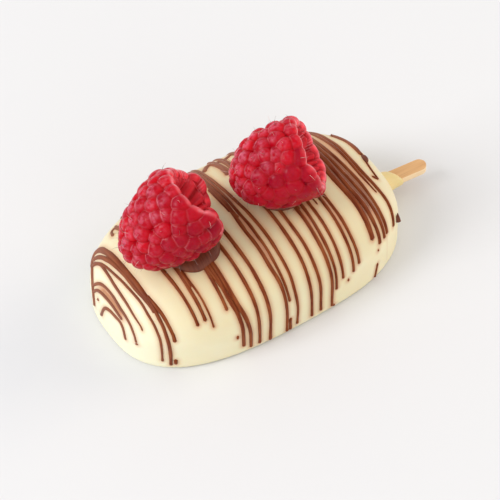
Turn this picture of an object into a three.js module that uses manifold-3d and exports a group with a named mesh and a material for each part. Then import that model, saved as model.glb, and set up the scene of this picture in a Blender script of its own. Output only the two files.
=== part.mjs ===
// A small ice pop lying on its flat underside: a domed bar of ice cream in a pale coating, with fine
// chocolate drizzle, a dab of chocolate, two raspberries on top and a slim wooden stick.
// Millimetres, +Z up. The bar runs along X, with the stick at +X. Each shape is worked out about the
// middle of the bar's underside, and the whole is then moved so that the origin is at the middle of
// the whole object's base.

import * as THREE from 'three';
import { mergeVertices } from 'three/addons/utils/BufferGeometryUtils.js';
import Module from 'manifold-3d';

const wasm = await Module();
wasm.setup();

// ---------------------------------------------------------------- driving dimensions

// The coated bar. Its plan is a blunt oval: a bluntness of 2 would be an ellipse.
const BAR = {
  length: 72,
  width: 41.9,
  height: 22,
  shoulder: 6.8, // height of the upright side, below the dome
  roundEndBluntness: 2.7,
  stickEndBluntness: 2.85,
  domePower: 2.4, // flatness of the top
  shoulderPower: 2.45, // fullness of the shoulder
  baseRound: 0.9, // rounding where the side meets the underside
};

// The slim flat stick, low in the bar as in the mould's slot.
const STICK = {
  width: 3.4,
  thickness: 2,
  reach: 12.2, // from the bar's end to the tip
  depth: 26, // inside the bar
  middleHeight: 5,
  turn: THREE.MathUtils.degToRad(-4), // seen from above
  edgeRound: 0.3,
};

// The coating that ran a little way along the stick. Half sizes at the bar and at the lip.
const COLLAR = {
  length: 4.4,
  startInside: 2.5,
  barHalfWidth: 4.6,
  barHalfHeight: 3.9,
  lipHalfWidth: 2.5,
  lipHalfHeight: 1.75,
  flarePower: 2.2,
};

const GAP = 0.3; // between neighbouring pieces

// Drizzle. Each line crosses the bar from its front side (-Y) to its back side (+Y):
// [place along the bar, slant, height of the front end, height of the back end, width].
const DRIZZLE = [
  [-35.3, -0.03, 5.7, 6.2, 0.8],
  [-34.0, -0.03, 7.2, 10.2, 0.9],
  [-32.6, -0.02, 11.3, 12.4, 0.8],
  [-31.1, -0.06, 2.6, 11.8, 0.9],
  [-29.6, -0.07, 1.4, 11.4, 1.7],
  [-23.9, -0.09, 12.8, 15.2, 0.9],
  [-21.9, -0.08, 13.3, 15.2, 1.1],
  [-16.2, -0.05, 14.4, 9.5, 0.9],
  [-15.4, -0.11, 2.4, 6.0, 0.9],
  [-14.0, -0.1, 1.5, 2.6, 0.8],
  [-10.7, -0.07, 1.6, 8.2, 0.8],
  [-8.0, -0.07, 1.4, 3.4, 0.9],
  [-3.8, -0.06, 1.4, 2.2, 1.0],
  [-2.2, -0.05, 10.4, 11.0, 0.9],
  [-0.8, -0.07, 1.5, 14.0, 1.0],
  [3.0, -0.07, 1.5, 14.4, 0.9],
  [5.2, -0.08, 1.7, 12.6, 0.9],
  [8.8, -0.05, 1.4, 2.0, 0.9],
  [10.2, -0.04, 6.9, 7.4, 0.8],
  [12.1, -0.03, 8.5, 10.4, 0.8],
  [15.0, -0.04, 9.0, 3.0, 0.9],
  [16.3, -0.06, 9.8, 6.6, 0.9],
  [20.9, -0.07, 14.0, 5.2, 1.1],
  [22.3, -0.1, 10.5, 8.6, 1.0],
  [24.0, -0.11, 10.7, 4.0, 0.9],
  [25.8, -0.07, 9.5, 9.8, 0.9],
  [28.6, -0.11, 10.4, 5.6, 0.9],
  [32.6, -0.2, 12.4, 6.5, 0.9],
];
const DRIZZLE_STEP = 7; // along a line
const DRIZZLE_SINK = 0.5; // below the coating's face

// Turns where the drizzle swings round on the bar, near its back edge: [x, y, radius, width].
const DRIZZLE_TURNS = [
  [-24.5, 12.9, 1.1, 0.9],
  [0.1, 15.4, 1.9, 1.0],
  [3.3, 15.6, 1.3, 0.8],
];

// Dabs of chocolate that hold the raspberries: [x, y, radius along X, radius along Y, rise].
const DABS = [
  [-16.6, -2.8, 7.2, 7.0, 1.9],
  [7.8, -1.2, 6.6, 6.8, 1.5],
];

// Raspberries lie on their sides, each with its open end towards the stick. `turn` is seen from
// above, `lift` tips the open end up, and `rim` is the place of the widest part from the open end.
const RASPBERRIES = [
  {
    name: 'raspberry_near',
    middle: [-21.4, -0.8, 28.9],
    turn: -8,
    lift: 34,
    length: 21.6,
    radius: 10.3,
    rim: 4,
    seed: 5,
  },
  {
    name: 'raspberry_far',
    middle: [6.8, -0.5, 30.3],
    turn: -18,
    lift: 23,
    length: 19.8,
    radius: 9.5,
    rim: 4,
    seed: 11,
  },
];
const DRUPELET = {
  pitch: 4.7, // between neighbours in a ring
  radius: 2.85,
  unevenness: 0.35,
};
const HOLLOW = {
  mouthRadius: 5.2,
  endRadius: 2.9,
  depth: 12.5,
};
const BERRY_DETAIL = 9; // subdivision of the sphere that a berry is pulled out of

const MATERIALS = {
  coating: new THREE.MeshStandardMaterial({ color: 0xf3ebcb, roughness: 0.42, metalness: 0 }),
  wood: new THREE.MeshStandardMaterial({ color: 0xdca873, roughness: 0.7, metalness: 0 }),
  raspberry: new THREE.MeshStandardMaterial({ color: 0xb82a3a, roughness: 0.38, metalness: 0 }),
};

// ---------------------------------------------------------------- helpers

// A closed surface through rings of points, with a fan to the middle of the first and last ring.
function loft(rings) {
  const sides = rings[0].length;
  const points = rings.flat();
  const faces = [];
  for (let ring = 0; ring + 1 < rings.length; ring += 1) {
    for (let side = 0; side < sides; side += 1) {
      const next = (side + 1) % sides;
      const a = ring * sides + side;
      const b = ring * sides + next;
      faces.push(a, b, a + sides, b, b + sides, a + sides);
    }
  }
  for (const [ring, isLast] of [[0, false], [rings.length - 1, true]]) {
    const middle = new THREE.Vector3();
    rings[ring].forEach((point) => middle.addScaledVector(point, 1 / sides));
    points.push(middle);
    for (let side = 0; side < sides; side += 1) {
      const a = ring * sides + side;
      const b = ring * sides + ((side + 1) % sides);
      faces.push(...(isLast ? [a, b, points.length - 1] : [b, a, points.length - 1]));
    }
  }
  const geometry = new THREE.BufferGeometry().setFromPoints(points);
  geometry.setIndex(faces);
  return geometry;
}

function signedVolume(positions, index) {
  const corners = [new THREE.Vector3(), new THREE.Vector3(), new THREE.Vector3()];
  let total = 0;
  for (let i = 0; i < index.length; i += 3) {
    corners.forEach((corner, k) => corner.fromArray(positions, 3 * index[i + k]));
    total += corners[0].dot(corners[1].clone().cross(corners[2])) / 6;
  }
  return total;
}

// A geometry as a manifold solid, its faces turned outwards.
function solid(geometry) {
  const bare = geometry.clone();
  bare.deleteAttribute('normal');
  bare.deleteAttribute('uv');
  const merged = mergeVertices(bare, 1e-4);
  const positions = Float32Array.from(merged.attributes.position.array);
  const index = [];
  const source = merged.index.array;
  for (let i = 0; i < source.length; i += 3) {
    const [a, b, c] = [source[i], source[i + 1], source[i + 2]];
    if (a !== b && b !== c && c !== a) index.push(a, b, c);
  }
  if (signedVolume(positions, index) < 0) index.reverse();
  const mesh = new wasm.Mesh({
    numProp: 3,
    vertProperties: positions,
    triVerts: Uint32Array.from(index),
  });
  return new wasm.Manifold(mesh);
}

function geometryOf(manifold) {
  const mesh = manifold.getMesh();
  const geometry = new THREE.BufferGeometry();
  geometry.setAttribute('position', new THREE.BufferAttribute(mesh.vertProperties, 3));
  geometry.setIndex(new THREE.BufferAttribute(mesh.triVerts, 1));
  geometry.computeVertexNormals();
  return geometry;
}

function namedMesh(name, manifold, material) {
  const mesh = new THREE.Mesh(geometryOf(manifold), material);
  mesh.name = name;
  return mesh;
}

// A small seeded random source, from 0 to 1.
function randomSource(seed) {
  let state = seed;
  return () => {
    state = (state * 1664525 + 1013904223) % 4294967296;
    return state / 4294967296;
  };
}

// ---------------------------------------------------------------- the bar's own surface

const halfLength = BAR.length / 2;
const halfWidth = BAR.width / 2;

function bluntness(x) {
  return x > 0 ? BAR.stickEndBluntness : BAR.roundEndBluntness;
}

// 0 at the middle of the plan, 1 on its outline.
function planRadius(x, y) {
  const power = bluntness(x);
  return (Math.abs(x / halfLength) ** power + Math.abs(y / halfWidth) ** power) ** (1 / power);
}

function outlinePoint(angle, scale) {
  const [c, s] = [Math.cos(angle), Math.sin(angle)];
  const power = 2 / bluntness(c);
  return [
    halfLength * scale * Math.sign(c) * Math.abs(c) ** power,
    halfWidth * scale * Math.sign(s) * Math.abs(s) ** power,
  ];
}

function topHeight(x, y) {
  const radius = Math.min(planRadius(x, y), 1);
  const rise = (1 - radius ** BAR.domePower) ** (1 / BAR.shoulderPower);
  return BAR.shoulder + (BAR.height - BAR.shoulder) * rise;
}

function sideInset(height) {
  const below = Math.max(BAR.baseRound - height, 0);
  return BAR.baseRound - Math.sqrt(BAR.baseRound ** 2 - below ** 2);
}

function faceNormal(point) {
  const reach = 0.05;
  const slope = (f) => [
    f(point.x + reach, point.y) - f(point.x - reach, point.y),
    f(point.x, point.y + reach) - f(point.x, point.y - reach),
  ];
  if (point.z <= BAR.shoulder + reach) {
    return new THREE.Vector3(...slope(planRadius), 0).normalize();
  }
  const [dx, dy] = slope(topHeight);
  return new THREE.Vector3(-dx, -dy, 2 * reach).normalize();
}

function barBody() {
  const sides = 52;
  const domeRows = 7;
  const baseHeights = [0, 0.35, BAR.baseRound];
  const rows = baseHeights.map((z) => [1 - sideInset(z) / halfWidth, z]);
  for (let row = 0; row < domeRows; row += 1) {
    const angle = (row / domeRows) * (Math.PI / 2);
    const rise = Math.sin(angle) ** (2 / BAR.shoulderPower);
    const z = BAR.shoulder + (BAR.height - BAR.shoulder) * rise;
    rows.push([Math.cos(angle) ** (2 / BAR.domePower), z]);
  }
  rows.push([0.12, topHeight(0.12 * halfLength, 0)]);
  return solid(loft(rows.map(([scale, z]) => Array.from({ length: sides }, (_, side) => {
    const [x, y] = outlinePoint((side / sides) * 2 * Math.PI, scale);
    return new THREE.Vector3(x, y, z);
  }))));
}

// ---------------------------------------------------------------- stick and collar

function stickGeometry(growth) {
  const half = STICK.width / 2 + growth;
  const tip = halfLength + STICK.reach + growth;
  const tail = halfLength - STICK.depth - growth;
  const outline = new THREE.Shape();
  outline.moveTo(tail, -half);
  outline.lineTo(tip - half, -half);
  outline.absarc(tip - half, 0, half, -Math.PI / 2, Math.PI / 2, false);
  outline.lineTo(tail, half);
  const bevel = STICK.edgeRound;
  const geometry = new THREE.ExtrudeGeometry(outline, {
    depth: STICK.thickness + 2 * growth - 2 * bevel,
    bevelThickness: bevel,
    bevelSize: bevel,
    bevelOffset: -bevel,
    bevelSegments: 1,
    curveSegments: 8,
  });
  geometry.translate(-halfLength, 0, bevel - STICK.thickness / 2 - growth);
  geometry.rotateZ(STICK.turn);
  geometry.translate(halfLength, 0, STICK.middleHeight);
  return geometry;
}

function collar() {
  const sides = 20;
  const steps = 4;
  const rings = [];
  for (let step = 0; step <= steps; step += 1) {
    const along = step / steps;
    const flare = (1 - along) ** COLLAR.flarePower;
    const wide = THREE.MathUtils.lerp(COLLAR.lipHalfWidth, COLLAR.barHalfWidth, flare);
    const high = THREE.MathUtils.lerp(COLLAR.lipHalfHeight, COLLAR.barHalfHeight, flare);
    const x = along * (COLLAR.length + COLLAR.startInside) - COLLAR.startInside;
    rings.push(Array.from({ length: sides }, (_, side) => {
      const angle = (side / sides) * 2 * Math.PI;
      return new THREE.Vector3(x, wide * Math.cos(angle), high * Math.sin(angle))
        .applyAxisAngle(new THREE.Vector3(0, 0, 1), STICK.turn)
        .add(new THREE.Vector3(halfLength, 0, STICK.middleHeight));
    }));
  }
  return solid(loft(rings));
}

// ---------------------------------------------------------------- drizzle and dabs

// A bead of chocolate along points on the bar's face: three sides, its ridge outwards.
function bead(points, width) {
  const height = 0.5 * width + 0.12;
  const section = [[-width / 2, -DRIZZLE_SINK], [width / 2, -DRIZZLE_SINK], [0, height]];
  const rings = points.map((point, i) => {
    const before = points[Math.max(i - 1, 0)];
    const after = points[Math.min(i + 1, points.length - 1)];
    const normal = faceNormal(point);
    const across = after.clone().sub(before).cross(normal).normalize();
    return section.map(([side, up]) => point.clone()
      .addScaledVector(across, side)
      .addScaledVector(normal, up));
  });
  return solid(loft(rings));
}

// The outline's y where the line x = place + slant * y leaves the bar, on the given side.
function edgeOfLine(place, slant, side) {
  let inner = 0;
  let outer = side * BAR.width;
  for (let i = 0; i < 30; i += 1) {
    const middle = (inner + outer) / 2;
    if (planRadius(place + slant * middle, middle) < 1) inner = middle;
    else outer = middle;
  }
  return inner;
}

// Points over the bar from front to back, between the two given end heights.
function drizzlePath(place, slant, frontEnd, backEnd) {
  const samples = 64;
  const front = edgeOfLine(place, slant, -1);
  const back = edgeOfLine(place, slant, 1);
  const path = [];
  const addSide = (y, height, inward) => {
    const inset = sideInset(height) * inward;
    path.push(new THREE.Vector3(place + slant * y, y + inset, height));
  };
  if (frontEnd < BAR.shoulder) addSide(front, frontEnd, 1);
  for (let i = 0; i <= samples; i += 1) {
    const turn = Math.cos((Math.PI * i) / samples);
    const y = (front + back) / 2 - (turn * (back - front)) / 2;
    const x = place + slant * y;
    const z = topHeight(x, y);
    const end = i < samples / 2 ? frontEnd : backEnd;
    if (z >= end) path.push(new THREE.Vector3(x, y, z));
  }
  if (backEnd < BAR.shoulder) addSide(back, backEnd, -1);
  const curve = new THREE.CatmullRomCurve3(path, false, 'centripetal');
  return curve.getSpacedPoints(Math.max(4, Math.round(curve.getLength() / DRIZZLE_STEP)));
}

// A half turn on the bar's top, open towards the front.
function turnPath(x, y, radius) {
  const steps = 6;
  return Array.from({ length: steps + 1 }, (_, i) => {
    const angle = Math.PI * (i / steps);
    const px = x - radius * Math.cos(angle);
    const py = y + radius * Math.sin(angle);
    return new THREE.Vector3(px, py, topHeight(px, py));
  });
}

function dab(x, y, radiusX, radiusY, rise) {
  const reach = 1;
  const slopeX = (topHeight(x + reach, y) - topHeight(x - reach, y)) / (2 * reach);
  const slopeY = (topHeight(x, y + reach) - topHeight(x, y - reach)) / (2 * reach);
  const geometry = new THREE.SphereGeometry(1, 22, 10);
  geometry.rotateX(Math.PI / 2);
  geometry.scale(radiusX, radiusY, rise);
  geometry.rotateY(-Math.atan(slopeX));
  geometry.rotateX(Math.atan(slopeY));
  geometry.translate(x, y, topHeight(x, y));
  return solid(geometry);
}

// ---------------------------------------------------------------- raspberries

// Radius of a berry's outer shape at a distance from its open end.
function berryRadius(berry, along) {
  if (along < berry.rim) {
    const towardsMouth = (berry.rim - along) / berry.rim;
    return berry.radius * Math.sqrt(1 - 0.34 * towardsMouth ** 2);
  }
  const towardsTip = Math.min((along - berry.rim) / (berry.length - berry.rim), 1);
  return berry.radius * Math.sqrt(1 - towardsTip ** 2.1);
}

// Middles and sizes of a berry's drupelets, in rings from the open end to the tip. The berry lies
// along X with its open end at +X.
function drupelets(berry) {
  const random = randomSource(berry.seed);
  const profile = Array.from({ length: 81 }, (_, i) => {
    const along = berry.length * Math.sin((Math.PI / 2) * (i / 80));
    return new THREE.Vector2(along, berryRadius(berry, along));
  });
  const curve = new THREE.SplineCurve(profile);
  const rowPitch = DRUPELET.pitch * 0.86;
  const rows = Math.round(curve.getLength() / rowPitch);
  const found = [];
  for (let row = 0; row < rows; row += 1) {
    const at = (row + 0.4) / rows;
    const point = curve.getPointAt(at);
    const tangent = curve.getTangentAt(at);
    const size = DRUPELET.radius * (1 - 0.18 * at);
    const inX = point.x + tangent.y * size;
    const ringRadius = Math.max(point.y - tangent.x * size, 0);
    const count = Math.max(Math.round((2 * Math.PI * point.y) / (DRUPELET.pitch * (1 - 0.12 * at))), 3);
    for (let i = 0; i < count; i += 1) {
      const angle = ((i + 0.5 * (row % 2)) / count) * 2 * Math.PI;
      const wander = () => (random() - 0.5) * DRUPELET.unevenness;
      found.push({
        middle: new THREE.Vector3(
          berry.length / 2 - inX + wander(),
          ringRadius * Math.cos(angle) + wander(),
          ringRadius * Math.sin(angle) + wander(),
        ),
        size: size * (1 + 0.3 * wander()),
      });
    }
  }
  return found;
}

// Distance from the berry's middle to the outermost drupelet face in a direction.
function drupeletFace(direction, all, growth) {
  let furthest = 0;
  for (const { middle, size } of all) {
    const along = direction.dot(middle);
    const inside = (size + growth) ** 2 - middle.lengthSq() + along ** 2;
    if (inside > 0) furthest = Math.max(furthest, along + Math.sqrt(inside));
  }
  return furthest;
}

function placeBerry(geometry, berry) {
  geometry.rotateY(-THREE.MathUtils.degToRad(berry.lift));
  geometry.rotateZ(THREE.MathUtils.degToRad(berry.turn));
  geometry.translate(...berry.middle);
  return geometry;
}

// The bumpy outer body of a berry, without its hollow.
function berryBody(berry, growth) {
  const all = drupelets(berry);
  const sphere = new THREE.IcosahedronGeometry(1, BERRY_DETAIL);
  sphere.deleteAttribute('normal');
  sphere.deleteAttribute('uv');
  const geometry = mergeVertices(sphere, 1e-4);
  const position = geometry.attributes.position;
  const core = 0.55 * berry.radius + growth;
  for (let i = 0; i < position.count; i += 1) {
    const direction = new THREE.Vector3().fromBufferAttribute(position, i).normalize();
    const distance = Math.max(drupeletFace(direction, all, growth), core);
    position.setXYZ(i, ...direction.multiplyScalar(distance).toArray());
  }
  return solid(placeBerry(geometry, berry));
}

// The space that the berry's core left: a blunt cone, open at the rim.
function berryHollow(berry) {
  const beyond = 4;
  const curve = new THREE.CubicBezierCurve(
    new THREE.Vector2(HOLLOW.mouthRadius, 0),
    new THREE.Vector2(HOLLOW.endRadius + 0.9, HOLLOW.depth * 0.55),
    new THREE.Vector2(HOLLOW.endRadius, HOLLOW.depth),
    new THREE.Vector2(0, HOLLOW.depth),
  );
  const profile = [
    new THREE.Vector2(0, -beyond),
    new THREE.Vector2(HOLLOW.mouthRadius * 1.35, -beyond),
    ...curve.getPoints(6),
  ];
  profile[profile.length - 1].x = 0;
  const geometry = new THREE.LatheGeometry(profile, 18);
  geometry.rotateZ(Math.PI / 2);
  geometry.translate(berry.length / 2, 0, 0);
  return solid(placeBerry(geometry, berry));
}

// ---------------------------------------------------------------- the whole

function coatedBar() {
  let bar = barBody().add(collar());
  for (const [x, y, radiusX, radiusY, rise] of DABS) {
    bar = bar.add(dab(x, y, radiusX, radiusY, rise));
  }
  for (const [place, slant, frontEnd, backEnd, width] of DRIZZLE) {
    bar = bar.add(bead(drizzlePath(place, slant, frontEnd, backEnd), width));
  }
  for (const [x, y, radius, width] of DRIZZLE_TURNS) {
    bar = bar.add(bead(turnPath(x, y, radius), width));
  }
  for (const berry of RASPBERRIES) {
    bar = bar.subtract(berryBody(berry, 1.4 * GAP));
  }
  return bar.subtract(solid(stickGeometry(GAP)));
}

const icePop = new THREE.Group();
icePop.add(namedMesh('bar', coatedBar(), MATERIALS.coating));
icePop.add(namedMesh('stick', solid(stickGeometry(0)), MATERIALS.wood));
for (const berry of RASPBERRIES) {
  const shape = berryBody(berry, 0).subtract(berryHollow(berry));
  icePop.add(namedMesh(berry.name, shape, MATERIALS.raspberry));
}

// The origin goes to the middle of the whole length, so the bar moves back by half the stick's reach.
icePop.position.x = -STICK.reach / 2;

export default icePop;
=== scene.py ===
"""A small ice pop: a coated bar with chocolate drizzle, two raspberries and a wooden stick."""

import math

import bpy
import numpy as np
from mathutils import Euler, Matrix, Vector, noise


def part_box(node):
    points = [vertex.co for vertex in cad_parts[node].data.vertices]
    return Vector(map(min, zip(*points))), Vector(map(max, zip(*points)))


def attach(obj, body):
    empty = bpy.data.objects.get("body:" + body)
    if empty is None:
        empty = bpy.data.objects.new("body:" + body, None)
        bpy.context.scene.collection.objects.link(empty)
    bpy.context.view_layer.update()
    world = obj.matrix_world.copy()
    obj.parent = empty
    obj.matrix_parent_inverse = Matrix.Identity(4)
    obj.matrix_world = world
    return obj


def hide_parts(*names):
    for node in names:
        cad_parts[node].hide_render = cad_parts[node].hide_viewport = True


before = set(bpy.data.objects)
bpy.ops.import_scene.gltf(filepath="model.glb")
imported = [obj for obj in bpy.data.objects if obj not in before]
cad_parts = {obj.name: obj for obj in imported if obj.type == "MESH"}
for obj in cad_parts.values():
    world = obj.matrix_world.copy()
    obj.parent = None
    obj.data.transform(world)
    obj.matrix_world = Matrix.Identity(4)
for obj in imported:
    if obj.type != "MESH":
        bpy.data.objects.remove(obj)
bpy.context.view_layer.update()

# Shapes are worked out in millimetres about the middle of the bar's underside, with X along the
# bar towards the stick. `in_frame` moves them to their place and turns them into metres.
MM = 0.001

# ------------------------------------------------------------------ sizes of the bar

HALF_LENGTH = 36.0
HALF_WIDTH = 20.95
HEIGHT = 22.0
SHOULDER = 6.8  # height of the upright side, below the dome
ROUND_END_BLUNTNESS = 2.7  # 2 would be an ellipse
STICK_END_BLUNTNESS = 2.85
DOME_POWER = 2.4
SHOULDER_POWER = 2.45
BASE_ROUND = 0.9
FLAT_BELOW = 0.3  # the height up to which dipping left no unevenness
SKIN_VOXEL = 0.36  # of the remesh that makes the bar and its collar one skin
DIPPING_UNEVENNESS = [(17, 0.22), (5, 0.05)]  # (about how far across, how deep)

BAR_MIDDLE_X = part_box("bar")[0].x / MM + HALF_LENGTH

STICK = {
    "half_width": 1.7,
    "half_thickness": 1.0,
    "reach": 12.2,
    "inside": 26.0,
    "middle_height": 5.0,
    "turn": math.radians(-4),
    "edge_round": 0.3,
    "tip_softening": 0.3,  # share of the width over which the edges round off more at the tip
    "all_paler_below": 0.25,  # share of the width below which the whole tip takes the paler colour
}

COLLAR = {
    "start_inside": 3.0,
    "length": 3.6,
    "bar_half": (5.8, 4.5),
    "lip_half": (2.5, 1.8),
    "lip_round": 0.4,
    "flare": 2.1,
    "lip_slant": 1.4,  # the lip reaches this much further at the front and less at the back
    "warmth": 0.8,  # of its colour, where the coating is thick
    "warmth_at_bar": 0.3,  # share of that where the bar ends
    "warming_length": 1.5,
}

# ------------------------------------------------------------------ the drizzle

# Straight lines over the whole bar, from front (-Y) to back (+Y):
# (place along the bar, slant, height of the front end, height of the back end, width).
CROSSING_LINES = [
    (-23.67, -0.065, 12.8, 15.2, 0.81),
    (-21.26, -0.028, 13.4, 14.2, 0.89),
    (-16.0, -0.014, 14.4, 9.5, 0.95),
    (-10.75, -0.065, 1.3, 8.2, 0.92),
    (-8.0, -0.068, 0.7, 3.4, 0.95),
    (3.19, -0.051, 1.5, 14.4, 0.86),
    (5.22, -0.067, 1.8, 12.6, 0.86),
    (8.74, -0.045, 1.1, 2.0, 0.95),
    (10.35, -0.026, 6.2, 7.4, 0.81),
    (12.19, -0.025, 8.0, 10.4, 0.83),
    (15.06, -0.033, 8.6, 3.0, 0.88),
    (16.03, -0.068, 9.6, 6.6, 0.92),
]
LEFT_AT_FRONT = 0.78  # share of such a line's width that is left at its front end

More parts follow.
